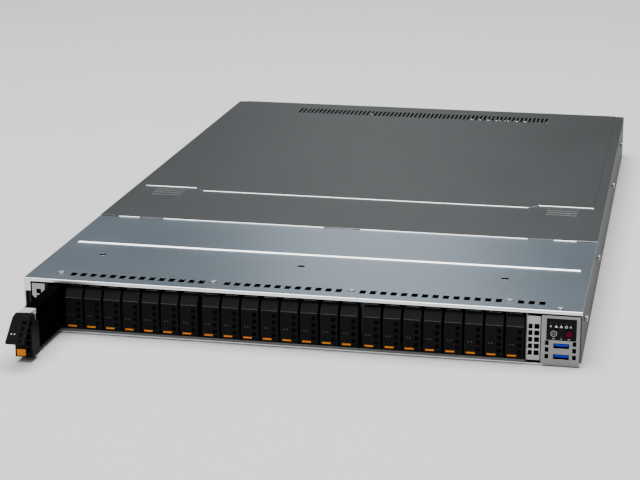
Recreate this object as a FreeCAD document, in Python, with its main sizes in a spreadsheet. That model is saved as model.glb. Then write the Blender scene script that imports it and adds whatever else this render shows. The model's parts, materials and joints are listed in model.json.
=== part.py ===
"""One-unit rack server with 24 short front drives, as a parametric document.

Frame: origin at the middle of the front edge of the underside, +X to the right, +Y to the back, +Z up.
All lengths are millimetres. Every driving length is a cell of the sheet named "sizes".
"""
import FreeCAD, Part
import Sketcher
import math
import os
import re

SIZES = {
    # chassis
    "chassis_width": 437.0,
    "chassis_depth": 700.0,
    "wall_height": 42.2,
    "tray_sheet": 1.2,
    "post_width": 5.6,
    "post_depth": 14.0,
    "post_foot": 32.5,
    "standoff_radius": 3.2,
    "standoff_rise": 5.0,
    "standoff_margin": 16.5,
    "standoff_first_back": 290.0,
    "standoff_pitch_back": 196.0,
    "run_gap": 0.3,
    # covers
    "cover_sheet": 0.8,
    "cover_step": 0.5,
    "seam_back": 190.0,
    "seam_gap": 0.3,
    "lip_drop": 2.6,
    "lip_round": 1.2,
    "recess_margin": 8.5,
    "recess_front": 30.0,
    "recess_back": 107.0,
    "recess_drop": 0.9,
    "recess_slope": 1.5,
    "vent_wide": 4.6,
    "vent_long": 5.0,
    "vent_pitch": 8.05,
    "vent_row_back": 14.5,
    "vent_one_start": -182.7,
    "vent_two_start": -57.4,
    "vent_three_start": 49.8,
    "vent_four_start": 171.2,
    "vent_long_count": 14,
    "vent_mid_count": 12,
    "vent_short_count": 3,
    "field_margin": 9.5,
    "field_notch_half": 160.0,
    "field_tongue_half": 151.0,
    "field_back": 299.0,
    "field_tongue_back": 290.0,
    "rim_width": 1.2,
    "thumb_margin": 36.5,
    "thumb_back": 280.0,
    "thumb_wide": 30.0,
    "thumb_long": 13.0,
    "thumb_depth": 0.5,
    "thumb_rib": 1.2,
    "thumb_rib_pitch": 4.0,
    "rear_slot_wide": 2.2,
    "rear_slot_long": 24.0,
    "rear_slot_margin": 50.0,
    "rear_slot_pitch": 4.5,
    "rear_slot_start": -138.3,
    "rear_slot_count": 62,
    "tab_across": 171.0,
    "tab_wide": 20.0,
    "tab_reach": 9.0,
    "tab_sheet": 0.7,
    "edge_slope": 0.4,
    "relief_spare": 1.0,
    "relief_long": 1.2,
    "middle_relief": 16.0,
    "corner_relief": 17.5,
    # drive bay
    "first_margin": 26.0,
    "last_margin": 49.45,
    "group_extra": 1.95,
    "group_count": 8,
    "module_wide": 9.5,
    "module_tall": 33.75,
    "module_front": 14.7,
    "module_long": 114.6,
    "module_foot": 4.2,
    "edge_long": 4.15,
    "edge_thick": 1.57,
    "edge_tall": 26.0,
    "cage_sheet": 1.0,
    "cage_sill": 3.2,
    "cage_sill_depth": 16.0,
    "cage_side_front": 2.5,
    "cage_spare": 0.8,
    "divider_web": 1.2,
    "divider_foot_tall": 3.0,
    # drive carrier
    "bezel_gap": 1.75,
    "bezel_foot": 3.4,
    "bezel_top": 29.0,
    "bezel_front": -0.4,
    "bezel_wall": 1.0,
    "bezel_round": 1.4,
    "bezel_vent_wide": 3.2,
    "bezel_vent_tall": 3.3,
    "bezel_vent_low": 9.6,
    "bezel_vent_pitch": 5.3,
    "bezel_vent_across": 3.7,
    "bezel_vent_count": 4,
    "hinge_back": 4.0,
    "hinge_up": 33.3,
    "hinge_block_wide": 8.8,
    "hinge_block_round": 2.9,
    "hinge_neck_half": 1.8,
    "pin_radius": 1.0,
    "pin_gap": 0.05,
    "lever_inset": 0.2,
    "lever_thick": 2.0,
    "lever_front": -2.7,
    "lever_bend": 29.6,
    "lever_tip": 7.0,
    "knuckle_round": 3.9,
    "clip_sheet": 0.5,
    "clip_top": 38.0,
    "clip_front": 4.0,
    "clip_flange": 4.0,
    "release_wide": 7.1,
    "release_margin": 1.1,
    "release_foot": 4.7,
    "release_tall": 5.3,
    "release_thick": 2.4,
    "pulled_out": 72.0,
    "lever_open_angle": 50.0,
    # front plates, insert and control panel
    "plate_sheet": 1.0,
    "plate_return": 12.0,
    "plate_foot": 3.4,
    "square_vent": 3.8,
    "square_pitch_up": 5.2,
    "square_pitch_across": 5.1,
    "left_plate_gap": 1.1,
    "left_plate_top": 38.8,
    "left_plate_step": 29.0,
    "left_plate_inset": 1.9,
    "left_vent_margin": 12.1,
    "left_vent_low": 6.5,
    "left_vent_count": 6,
    "insert_depth": 30.0,
    "right_plate_top": 38.0,
    "right_vent_margin": 8.5,
    "right_vent_low": 9.2,
    "right_vent_count": 5,
    "panel_wide": 30.0,
    "panel_seam": 0.8,
    "panel_foot": 0.4,
    "panel_top": 39.4,
    "panel_depth": 32.0,
    "panel_skin": 1.2,
    "panel_chamfer": 2.0,
    "window_margin": 26.2,
    "window_wide": 22.4,
    "window_foot": 20.3,
    "window_tall": 17.0,
    "window_thick": 0.6,
    "power_margin": 9.3,
    "power_radius": 3.0,
    "locate_margin": 20.7,
    "locate_radius": 2.7,
    "button_up": 25.6,
    "button_long": 5.0,
    "button_proud": 0.5,
    "button_gap": 0.4,
    "usb_margin": 14.75,
    "usb_wide": 12.6,
    "usb_tall": 4.8,
    "usb_low": 4.9,
    "usb_pitch": 8.6,
    "usb_long": 14.0,
    "usb_skin": 0.35,
    "tongue_wide": 10.6,
    "tongue_thick": 1.9,
    "tongue_long": 12.2,
    "side_vent_wide": 2.8,
    "side_vent_tall": 3.6,
    "side_vent_low": 7.4,
    "side_vent_pitch": 5.3,
    "side_vent_margin": 4.4,
    "side_vent_edge": 5.1,
    "side_vent_count": 3,
    # backplane
    "backplane_thick": 2.4,
    "connector_wide": 6.4,
    "connector_tall": 31.0,
    "connector_long": 6.2,
    "slot_gap": 0.35,
    "window_rim": 1.0,
    # fans
    "fan_size": 40.0,
    "fan_long": 56.0,
    "fan_front": 205.0,
    "fan_room": 29.0,
    "fan_count": 6,
    "fan_bore": 18.8,
    "hub_radius": 9.2,
    "hub_long": 20.0,
    "hub_inset": 5.0,
    "shaft_gap": 0.4,
    "blade_root": 8.6,
    "blade_tip": 17.4,
    "blade_lean": 4.6,
    "blade_thick": 1.0,
    "blade_count": 5,
    "strut_wide": 2.4,
    "strut_long": 6.0,
    # main board and what stands on it
    "board_thick": 1.6,
    "board_front": 278.0,
    "board_margin": 6.5,
    "board_gap": 6.0,
    "board_rear_gap": 4.8,
    "memory_pitch": 7.6,
    "memory_count": 8,
    "memory_thick": 1.3,
    "memory_long": 133.35,
    "memory_tall": 25.0,
    "memory_front": 300.0,
    "memory_margin": 10.0,
    "memory_inner": 7.0,
    "memory_socket_wide": 6.2,
    "memory_socket_tall": 7.0,
    "memory_socket_spare": 4.0,
    "cooler_room": 11.1,
    "cooler_long": 112.0,
    "cooler_front": 311.0,
    "cooler_base": 4.0,
    "cooler_fin_tall": 22.0,
    "cooler_fin_thick": 0.8,
    "cooler_fin_count": 16,
    "processor_wide": 72.0,
    "processor_long": 72.0,
    "processor_tall": 5.0,
    # power supplies
    "supply_wide": 73.5,
    "supply_tall": 39.2,
    "supply_long": 185.0,
    "supply_side_gap": 3.7,
    "supply_gap": 2.0,
    "supply_proud": 0.6,
    "inlet_wide": 27.0,
    "inlet_tall": 20.0,
    "inlet_deep": 14.0,
    "inlet_across": 20.0,
    "blade_pin_wide": 2.0,
    "blade_pin_tall": 4.0,
    "blade_pin_pitch": 7.0,
    "grille_radius": 17.0,
    "grille_across": 53.0,
    "grille_hub": 5.5,
    "grille_bar": 1.6,
    "grille_deep": 3.0,
    "face_up": 20.0,
    "handle_wide": 30.0,
    "handle_reach": 22.0,
    "handle_bar": 4.0,
    "handle_up": 33.0,
    "latch_wide": 5.0,
    "latch_tall": 14.0,
    "latch_reach": 12.0,
    "latch_across": 37.5,
    "latch_up": 12.0,
    # rear panel, slots and sockets
    "rear_sheet": 1.2,
    "rear_top": 41.0,
    "opening_gap": 0.6,
    "slot_edge": 13.5,
    "slot_tall": 18.4,
    "slot_foot": 20.5,
    "slot_margin": 104.6,
    "slot_between": 7.0,
    "slot_overlap": 2.0,
    "rear_vent_low": 12.0,
    "rear_vent_margin": 4.0,
    "rear_vent_tall": 6.0,
    "rear_vent_count": 16,
    "rear_vent_edge": 3.5,
    "rear_vent_wide": 5.0,
    "socket_long": 16.0,
    "network_margin": 24.6,
    "network_pitch": 18.0,
    "network_wide": 16.0,
    "network_tall": 13.4,
    "network_mouth_wide": 11.8,
    "network_mouth_tall": 8.0,
    "network_mouth_deep": 12.0,
    "network_mouth_up": 2.4,
    "stack_margin": 62.6,
    "stack_wide": 14.0,
    "stack_tall": 15.6,
    "stack_mouth_wide": 12.4,
    "stack_mouth_tall": 4.8,
    "stack_mouth_pitch": 7.4,
    "display_margin": 85.6,
    "display_wide": 17.0,
    "display_tall": 9.0,
    "display_mouth_wide": 13.0,
    "display_mouth_tall": 6.0,
    # fixings
    "stud_radius": 2.4,
    "stud_long": 2.4,
    "stud_up": 28.0,
    "stud_one_back": 32.0,
    "stud_two_back": 197.0,
    "stud_three_margin": 250.0,
    "stud_four_margin": 70.0,
    "screw_radius": 2.6,
    "screw_head": 0.6,
    "screw_back": 19.0,
    "screw_one": -194.0,
    "screw_two": -69.0,
    "screw_three": 41.0,
    "screw_four": 162.5,
    "corner_screw_margin": 17.0,
    "corner_screw_back": 6.5,
}

# Sizes that follow from the ones above, as formulas of the same sheet.
DERIVED = {
    "drive_first": "first_margin - chassis_width / 2",
    "drive_pitch": "(chassis_width - first_margin - last_margin - 2 * group_extra) / (3 * group_count - 1)",
    "group_step": "drive_pitch + group_extra",
    "bezel_wide": "drive_pitch - bezel_gap",
    "release_left": "release_margin - bezel_wide / 2",
    "lever_wide": "bezel_wide - lever_inset",
    "recess_half_width": "chassis_width / 2 - recess_margin",
    "field_half_width": "chassis_width / 2 - field_margin",
    "thumb_across": "chassis_width / 2 - thumb_margin",
    "rear_slot_back": "chassis_depth - rear_slot_margin",
    "left_vent_across": "left_vent_margin - chassis_width / 2",
    "panel_start": "chassis_width / 2 - panel_wide",
    "right_vent_across": "panel_start - right_vent_margin",
    "window_start": "chassis_width / 2 - window_margin",
    "power_across": "chassis_width / 2 - power_margin",
    "locate_across": "chassis_width / 2 - locate_margin",
    "usb_across": "chassis_width / 2 - usb_margin",
    "side_vent_left": "panel_start + side_vent_margin",
    "side_vent_right": "chassis_width / 2 - side_vent_edge",
    "corner_screw": "chassis_width / 2 - corner_screw_margin",
    "fan_pitch": "(chassis_width - fan_room) / fan_count",
    "standoff_first_across": "standoff_margin - chassis_width / 2",
    "standoff_pitch_across": "chassis_width / 2 - standoff_margin",
    "board_half_width": "chassis_width / 2 - board_margin",
    "memory_outer": "chassis_width / 2 - memory_margin",
    "cooler_across": "(memory_outer + memory_inner) / 2",
    "cooler_wide": "memory_outer - memory_inner - 2 * (memory_count - 1) * memory_pitch - cooler_room",
    "supply_back": "chassis_depth + supply_proud",
    "supply_end": "tray_sheet + supply_side_gap + 2 * supply_wide + supply_gap - chassis_width / 2",
    "network_across": "supply_end + network_margin",
    "stack_across": "supply_end + stack_margin",
    "display_across": "supply_end + display_margin",
    "slot_start": "supply_end + slot_margin",
    "slot_wide": "(chassis_width / 2 - slot_edge - slot_between - slot_start) / 2",
    "slot_pitch": "slot_wide + slot_between",
    "rear_vent_start": "slot_start + rear_vent_margin",
    "rear_vent_pitch": "(2 * slot_wide + slot_between - rear_vent_margin - rear_vent_edge) / (rear_vent_count - 1)",
    "stud_three_back": "chassis_depth - stud_three_margin",
    "stud_four_back": "chassis_depth - stud_four_margin",
}

PLANES = {"top": ("XY_Plane", ""), "front": ("XZ_Plane", "-"), "side": ("YZ_Plane", "")}

doc = FreeCAD.newDocument("rack_server")
sheet = doc.addObject("Spreadsheet::Sheet", "sizes")
subparts = []


def fill_sheet():
    """Write every size and its name into the sheet, then the sizes that follow from them."""
    cells = {name: str(size) for name, size in SIZES.items()}
    cells.update({name: f"={text}" for name, text in DERIVED.items()})
    for row, (name, content) in enumerate(cells.items(), start=1):
        sheet.set(f"A{row}", name)
        sheet.set(f"B{row}", content)
        sheet.setAlias(f"B{row}", name)
        doc.recompute()


def linked(text):
    """Put the sheet's name before each size named in an expression."""
    return re.sub(r"[a-z][a-z_]+",
                  lambda word: ("sizes." if word[0] in SIZES or word[0] in DERIVED else "") + word[0], text)


def bind(thing, prop, text):
    """Tie one property of an object to an expression of the sheet's sizes."""
    thing.setExpression(prop, linked(text))


def place(thing, across="0", back="0", up="0"):
    """Tie an object's position to the sheet."""
    bind(thing, "Placement.Base.x", across)
    bind(thing, "Placement.Base.y", back)
    bind(thing, "Placement.Base.z", up)


def origin_part(body, role):
    """Return one of a body's own origin planes or axes."""
    return next(item for item in body.Origin.OriginFeatures if item.Role == role)


def new_body(label, kept=True):
    """Start a body; kept ones are sub-parts with a file of their own."""
    body = doc.addObject("PartDesign::Body", label)
    body.Label = label
    if kept:
        subparts.append(body)
    return body


def group_of(label, members):
    """Join several bodies into one sub-part of separate solids."""
    group = doc.addObject("Part::Compound", label)
    group.Label = label
    group.Links = members
    subparts.append(group)
    return group


def new_sketch(body, view, offset):
    """Start a sketch on a body's own plane, moved along the plane's axis to offset."""
    role, sign = PLANES[view]
    sketch = body.newObject("Sketcher::SketchObject", body.Name + "_sketch")
    sketch.AttachmentSupport = (origin_part(body, role), [""])
    sketch.MapMode = "FlatFace"
    bind(sketch, "AttachmentOffset.Base.z", f"{sign}({offset})")
    return sketch


def hold(sketch, kind, index, end, start, text):
    """Fix one coordinate of a sketch point to an expression."""
    number = sketch.addConstraint(Sketcher.Constraint(kind, -1, 1, index, end, start))
    bind(sketch, f"Constraints[{number}]", text)


def outline(sketch, points):
    """Draw a closed outline through points given as pairs of expressions."""
    first, count = sketch.GeometryCount, len(points)
    turn = 2 * math.pi / count
    ring = [FreeCAD.Vector(math.cos(turn * i), math.sin(turn * i), 0) for i in range(count)]
    for i in range(count):
        sketch.addGeometry(Part.LineSegment(ring[i], ring[(i + 1) % count]), False)
    for i, (across, up) in enumerate(points):
        sketch.addConstraint(Sketcher.Constraint("Coincident", first + i, 2, first + (i + 1) % count, 1))
        hold(sketch, "DistanceX", first + i, 1, ring[i].x, across)
        hold(sketch, "DistanceY", first + i, 1, ring[i].y, up)


def rectangle(sketch, left, low, right, high):
    """Draw a rectangle between two corners given as expressions."""
    outline(sketch, [(left, low), (right, low), (right, high), (left, high)])


def centred(sketch, across, up, wide, tall):
    """Draw a rectangle about its centre."""
    rectangle(sketch, f"{across} - {wide} / 2", f"{up} - {tall} / 2", f"{across} + {wide} / 2", f"{up} + {tall} / 2")


def circle(sketch, across, up, radius):
    """Draw a circle from expressions for its centre and radius."""
    index = sketch.addGeometry(Part.Circle(FreeCAD.Vector(1, 1, 0), FreeCAD.Vector(0, 0, 1), 1), False)
    hold(sketch, "DistanceX", index, 3, 1, across)
    hold(sketch, "DistanceY", index, 3, 1, up)
    number = sketch.addConstraint(Sketcher.Constraint("Radius", index, 1))
    bind(sketch, f"Constraints[{number}]", radius)


def regular(sketch, across, up, radius, sides):
    """Draw a regular polygon by its corner radius."""
    turn = 360 / sides
    outline(sketch, [
        (f"{across} + ({radius}) * cos({turn * corner:g})", f"{up} + ({radius}) * sin({turn * corner:g})")
        for corner in range(sides)
    ])


def pad(body, sketch, length):
    """Add material from the sketch along the positive axis."""
    feature = body.newObject("PartDesign::Pad", body.Name + "_pad")
    feature.Profile = sketch
    feature.Reversed = sketch.AttachmentSupport[0][0].Role == "XZ_Plane"
    bind(feature, "Length", length)
    return feature


def cut(body, sketch, length):
    """Take material away from the sketch along the positive axis."""
    feature = body.newObject("PartDesign::Pocket", body.Name + "_cut")
    feature.Profile = sketch
    feature.Reversed = sketch.AttachmentSupport[0][0].Role != "XZ_Plane"
    bind(feature, "Length", length)
    return feature


def block(body, left, front, low, right, back, high):
    """Pad a rectangular block between two corners."""
    sketch = new_sketch(body, "top", low)
    rectangle(sketch, left, front, right, back)
    return pad(body, sketch, f"{high} - ({low})")


def repeat(body, originals, axis, count, pitch, second=None):
    """Copy features in a row, or in a grid when a second row is given as (axis, count, pitch)."""
    pattern = body.newObject("PartDesign::LinearPattern", body.Name + "_row")
    pattern.Originals = originals
    pattern.Direction = (origin_part(body, axis + "_Axis"), [""])
    bind(pattern, "Length", f"({count} - 1) * ({pitch})")
    bind(pattern, "Occurrences", count)
    if second:
        pattern.Direction2 = (origin_part(body, second[0] + "_Axis"), [""])
        bind(pattern, "Length2", f"({second[1]} - 1) * ({second[2]})")
        bind(pattern, "Occurrences2", second[1])
    body.Tip = pattern
    return pattern


def both_sides(body, originals):
    """Copy features to the other side of the middle plane."""
    mirror = body.newObject("PartDesign::Mirrored", body.Name + "_mirror")
    mirror.Originals = originals
    mirror.MirrorPlane = (origin_part(body, "YZ_Plane"), [""])
    body.Tip = mirror
    return mirror


def along(edge, axis):
    """Tell whether an edge is straight and runs along X, Y or Z."""
    if edge.Curve.TypeId != "Part::GeomLine":
        return False
    return abs(getattr(edge.Curve.Direction, axis)) > STRAIGHT


def soften(body, feature, kind, size, wanted):
    """Round or chamfer the edges of a feature that a test accepts."""
    doc.recompute()
    names = [f"Edge{i}" for i, edge in enumerate(feature.Shape.Edges, start=1) if wanted(edge)]
    dressed = body.newObject("PartDesign::" + kind, body.Name + "_" + kind.lower())
    dressed.Base = (feature, names)
    bind(dressed, "Radius" if kind == "Fillet" else "Size", size)
    body.Tip = dressed
    return dressed


def value(text):
    """Read one size from the sheet as a number."""
    return float(sheet.get(text))


TOUCH = 0.01
STRAIGHT = 0.999
HALF = "chassis_width / 2"
BAY_LEFT = "(drive_first - drive_pitch / 2)"
GROUP_SHIFT = "((group_count - 1) * drive_pitch + group_step)"
BAY_RIGHT = f"(drive_first + 2 * {GROUP_SHIFT} + (group_count - 0.5) * drive_pitch)"
FRONT_TOP = "(wall_height + cover_sheet)"
REAR_UNDER = "(wall_height + cover_step)"
REAR_TOP = "(wall_height + cover_step + cover_sheet)"
BOARD_TOP = "(tray_sheet + standoff_rise + board_thick)"
CAGE_FLOOR = "(module_foot - run_gap)"
CAGE_ROOF = "(module_foot + module_tall + run_gap + 0.15)"
SUPPLY_FOOT = "(tray_sheet + run_gap)"
SUPPLY_LEFT = f"(tray_sheet + supply_side_gap - {HALF})"
SUPPLY_END = "supply_end"
MODULE_END = "(module_front + module_long)"
CONNECTOR_FRONT = f"({MODULE_END} + run_gap)"
BACKPLANE_FRONT = f"({CONNECTOR_FRONT} + connector_long)"
CAGE_BACK = f"({BACKPLANE_FRONT} + backplane_thick + cage_spare)"
MODULE_MIDDLE = "(module_foot + module_tall / 2)"
INNER_WALL = f"({HALF} - tray_sheet)"
LEVER_REACH = "sqrt(pow(hinge_back - lever_front; 2) + pow(hinge_up - lever_bend; 2))"
LEVER_RISE = f"(atan((hinge_up - lever_bend) / (hinge_back - lever_front)) + asin(knuckle_round / {LEVER_REACH}))"
GROUPS = ["drive_first", f"drive_first + {GROUP_SHIFT}", f"drive_first + 2 * {GROUP_SHIFT}"]


def make_chassis_tray():
    """Base sheet with its side walls, left corner post and board standoffs."""
    body = new_body("chassis_tray")
    shape = new_sketch(body, "front", "0")
    outline(shape, [
        (f"-{HALF}", "0"), (HALF, "0"), (HALF, "wall_height"), (f"{HALF} - tray_sheet", "wall_height"),
        (f"{HALF} - tray_sheet", "tray_sheet"), (f"-{HALF} + tray_sheet", "tray_sheet"),
        (f"-{HALF} + tray_sheet", "wall_height"), (f"-{HALF}", "wall_height"),
    ])
    pad(body, shape, "chassis_depth")
    block(body, f"-{HALF}", "0", "post_foot", f"-{HALF} + post_width", "post_depth", "wall_height")
    standoff = new_sketch(body, "top", "tray_sheet")
    regular(standoff, "standoff_first_across", "standoff_first_back", "standoff_radius", 6)
    stud = pad(body, standoff, "standoff_rise")
    repeat(body, [stud], "X", "3", "standoff_pitch_across", ("Y", "2", "standoff_pitch_back"))
    notch = new_sketch(body, "top", f"{FRONT_TOP} - lip_drop")
    rectangle(notch, f"-{HALF}", "0", HALF, "cover_sheet")
    cut(body, notch, "lip_drop")


def make_front_cover():
    """Fixed cover over the drives: folded lip, wedge-shaped recess and vent row."""
    body = new_body("front_cover")
    block(body, f"-{HALF}", "0", "wall_height", HALF, "seam_back - seam_gap", FRONT_TOP)
    lip = block(body, f"-{HALF}", "0", f"{FRONT_TOP} - lip_drop", HALF, "cover_sheet", "wall_height")
    top = value("wall_height") + value("cover_sheet")
    soften(body, lip, "Fillet", "lip_round",
           lambda edge: along(edge, "x") and edge.CenterOfMass.y < TOUCH and edge.CenterOfMass.z > top - TOUCH)
    dish = new_sketch(body, "side", "-recess_half_width - cover_sheet")
    outline(dish, [
        ("recess_front", "wall_height"), ("recess_back + recess_slope", "wall_height"),
        ("recess_back", "wall_height - recess_drop"),
    ])
    pad(body, dish, "2 * (recess_half_width + cover_sheet)")
    recess = new_sketch(body, "side", "-recess_half_width")
    outline(recess, [
        ("recess_front", FRONT_TOP), ("recess_back", f"{FRONT_TOP} - recess_drop"),
        ("recess_back + recess_slope", FRONT_TOP),
    ])
    cut(body, recess, "2 * recess_half_width")
    rows = [
        (["vent_one_start", "vent_three_start"], "vent_long_count"),
        (["vent_two_start"], "vent_mid_count"),
        (["vent_four_start"], "vent_short_count"),
    ]
    for starts, count in rows:
        row = new_sketch(body, "top", "wall_height - cover_sheet")
        for start in starts:
            centred(row, start, "vent_row_back", "vent_wide", "vent_long")
        repeat(body, [cut(body, row, "3 * cover_sheet")], "X", count, "vent_pitch")
    return body


def draw_field(sketch, inset):
    """Outline of the raised field of the top cover, with its tongue towards the front."""
    outline(sketch, [
        (f"{inset} - field_half_width", f"field_back + {inset}"),
        (f"{inset} - field_notch_half", f"field_back + {inset}"),
        (f"{inset} - field_tongue_half", f"field_tongue_back + {inset}"),
        (f"field_tongue_half - {inset}", f"field_tongue_back + {inset}"),
        (f"field_notch_half - {inset}", f"field_back + {inset}"),
        (f"field_half_width - {inset}", f"field_back + {inset}"),
        (f"field_half_width - {inset}", "chassis_depth"),
        (f"{inset} - field_half_width", "chassis_depth"),
    ])


def add_thumb_pad(body, across):
    """Press a shallow thumb pad with three ribs into the top cover."""
    left, right = f"{across} - thumb_wide / 2", f"{across} + thumb_wide / 2"
    front, back = "thumb_back - thumb_long / 2", "thumb_back + thumb_long / 2"
    block(body, f"{left} - cover_sheet", f"{front} - cover_sheet", f"{REAR_UNDER} - thumb_depth",
          f"{right} + cover_sheet", f"{back} + cover_sheet", REAR_UNDER)
    pocket = new_sketch(body, "top", f"{REAR_TOP} - thumb_depth")
    rectangle(pocket, left, front, right, back)
    cut(body, pocket, "thumb_depth + cover_sheet")
    rib = block(body, f"{left} + thumb_rib", "thumb_back - thumb_rib_pitch - thumb_rib / 2",
                f"{REAR_TOP} - thumb_depth", f"{right} - thumb_rib",
                "thumb_back - thumb_rib_pitch + thumb_rib / 2", f"{REAR_TOP} - thumb_depth / 4")
    repeat(body, [rib], "Y", "3", "thumb_rib_pitch")


def make_top_cover():
    """Sliding rear cover: raised field, thumb pads, hooking tabs, side rims and rear slots."""
    body = new_body("top_cover")
    sheet_top = value("wall_height") + value("cover_step") + value("cover_sheet")
    plate = block(body, f"-{HALF}", "seam_back", REAR_UNDER, HALF, "chassis_depth", REAR_TOP)
    seam, depth = value("seam_back"), value("chassis_depth")
    soften(body, plate, "Chamfer", "edge_slope",
           lambda edge: edge.CenterOfMass.z > sheet_top - TOUCH and edge.CenterOfMass.y < seam + TOUCH)
    field = new_sketch(body, "top", REAR_TOP)
    draw_field(field, "0")
    raised = pad(body, field, "cover_step")
    field_top = sheet_top + value("cover_step")
    soften(body, raised, "Chamfer", "edge_slope",
           lambda edge: edge.CenterOfMass.z > field_top - TOUCH and edge.CenterOfMass.y < depth - TOUCH
           and not along(edge, "y"))
    hollow = new_sketch(body, "top", REAR_UNDER)
    draw_field(hollow, "cover_sheet")
    cut(body, hollow, "cover_step")
    for left, right in ((f"-{HALF}", f"rim_width - {HALF}"), (f"{HALF} - rim_width", HALF)):
        block(body, left, "seam_back", "wall_height", right, "chassis_depth", REAR_UNDER)
    block(body, f"run_gap - {INNER_WALL}", "chassis_depth - cover_sheet", "rear_top + run_gap",
          f"{INNER_WALL} - run_gap", "chassis_depth", f"{REAR_UNDER} + cover_step")
    for across in ("-tab_across", "0", "tab_across"):
        left, right = f"{across} - tab_wide / 2", f"{across} + tab_wide / 2"
        block(body, left, "seam_back", "wall_height - tab_sheet", right, "seam_back + 3 * tab_sheet", REAR_UNDER)
        block(body, left, "seam_back - tab_reach", "wall_height - tab_sheet", right, "seam_back", "wall_height")
    relief = new_sketch(body, "top", REAR_UNDER)
    for left, right in (
        (f"-{HALF}", f"corner_relief - {HALF}"),
        ("-tab_across - tab_wide / 2 - relief_spare", "tab_wide / 2 + relief_spare - tab_across"),
        ("-middle_relief", "middle_relief"),
        ("tab_across - tab_wide / 2 - relief_spare", "tab_across + tab_wide / 2 + relief_spare"),
        (f"{HALF} - corner_relief", HALF),
    ):
        rectangle(relief, left, "seam_back", right, "seam_back + relief_long")
    cut(body, relief, "cover_sheet")
    add_thumb_pad(body, "-thumb_across")
    add_thumb_pad(body, "thumb_across")
    slot = new_sketch(body, "top", REAR_UNDER)
    rectangle(slot, "rear_slot_start - rear_slot_wide / 2", "rear_slot_back",
              "rear_slot_start + rear_slot_wide / 2", "rear_slot_back + rear_slot_long")
    repeat(body, [cut(body, slot, "cover_step + 2 * cover_sheet")], "X", "rear_slot_count", "rear_slot_pitch")
    return body


def make_drive_cage():
    """Cage that holds the drives: folded floor, roof, two side plates and upright guide dividers."""
    floor = new_body("cage_floor", kept=False)
    fold = new_sketch(floor, "side", BAY_LEFT)
    under = f"{CAGE_FLOOR} - cage_sheet"
    outline(fold, [
        ("0", "tray_sheet"), ("0", "cage_sill"), ("cage_sill_depth", "cage_sill"),
        ("cage_sill_depth", CAGE_FLOOR), (CAGE_BACK, CAGE_FLOOR), (CAGE_BACK, "tray_sheet"),
        (f"{CAGE_BACK} - cage_sheet", "tray_sheet"), (f"{CAGE_BACK} - cage_sheet", under),
        ("cage_sill_depth + cage_sheet", under), ("cage_sill_depth + cage_sheet", "cage_sill - cage_sheet"),
        ("cage_sheet", "cage_sill - cage_sheet"), ("cage_sheet", "tray_sheet"),
    ])
    pad(floor, fold, f"{BAY_RIGHT} - {BAY_LEFT}")
    roof = new_body("cage_roof", kept=False)
    block(roof, BAY_LEFT, "cage_sill_depth", CAGE_ROOF, BAY_RIGHT, CAGE_BACK, f"{CAGE_ROOF} + cage_sheet")
    sides = []
    for name, left in (("cage_left", f"{BAY_LEFT} - cage_sheet"), ("cage_right", BAY_RIGHT)):
        side = new_body(name, kept=False)
        block(side, left, "cage_side_front", "tray_sheet", f"{left} + cage_sheet", CAGE_BACK,
              f"{CAGE_ROOF} + cage_sheet")
        sides.append(side)
    dividers = new_body("cage_dividers", kept=False)
    guide = new_sketch(dividers, "front", "cage_sill_depth")
    web, foot = "divider_web / 2", "((drive_pitch - module_wide) / 2 - run_gap)"
    foot_top = f"{CAGE_FLOOR} + divider_foot_tall"
    for first in GROUPS:
        middle = f"{first} + drive_pitch / 2"
        outline(guide, [
            (f"{middle} - {foot}", CAGE_FLOOR), (f"{middle} + {foot}", CAGE_FLOOR), (f"{middle} + {foot}", foot_top),
            (f"{middle} + {web}", foot_top), (f"{middle} + {web}", CAGE_ROOF), (f"{middle} - {web}", CAGE_ROOF),
            (f"{middle} - {web}", foot_top), (f"{middle} - {foot}", foot_top),
        ])
    first = pad(dividers, guide, f"{BACKPLANE_FRONT} - cage_sill_depth")
    repeat(dividers, [first], "X", "group_count - 1", "drive_pitch")
    partitions = new_body("cage_partitions", kept=False)
    wall = new_sketch(partitions, "front", "cage_sill_depth")
    half = "((group_step - module_wide) / 2 - run_gap)"
    middle = "drive_first + (group_count - 1) * drive_pitch + group_step / 2"
    rectangle(wall, f"{middle} - {half}", CAGE_FLOOR, f"{middle} + {half}", CAGE_ROOF)
    first = pad(partitions, wall, f"{BACKPLANE_FRONT} - cage_sill_depth")
    repeat(partitions, [first], "X", "2", GROUP_SHIFT)
    return group_of("drive_cage", [floor, roof, *sides, dividers, partitions])


def make_drive_module():
    """Short solid-state drive with its card edge, in the frame of one bay."""
    body = new_body("drive_module", kept=False)
    block(body, "-module_wide / 2", "module_front", "module_foot", "module_wide / 2", MODULE_END,
          "module_foot + module_tall")
    edge = new_sketch(body, "front", MODULE_END)
    centred(edge, "0", MODULE_MIDDLE, "edge_thick", "edge_tall")
    pad(body, edge, "edge_long")
    return body


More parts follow.
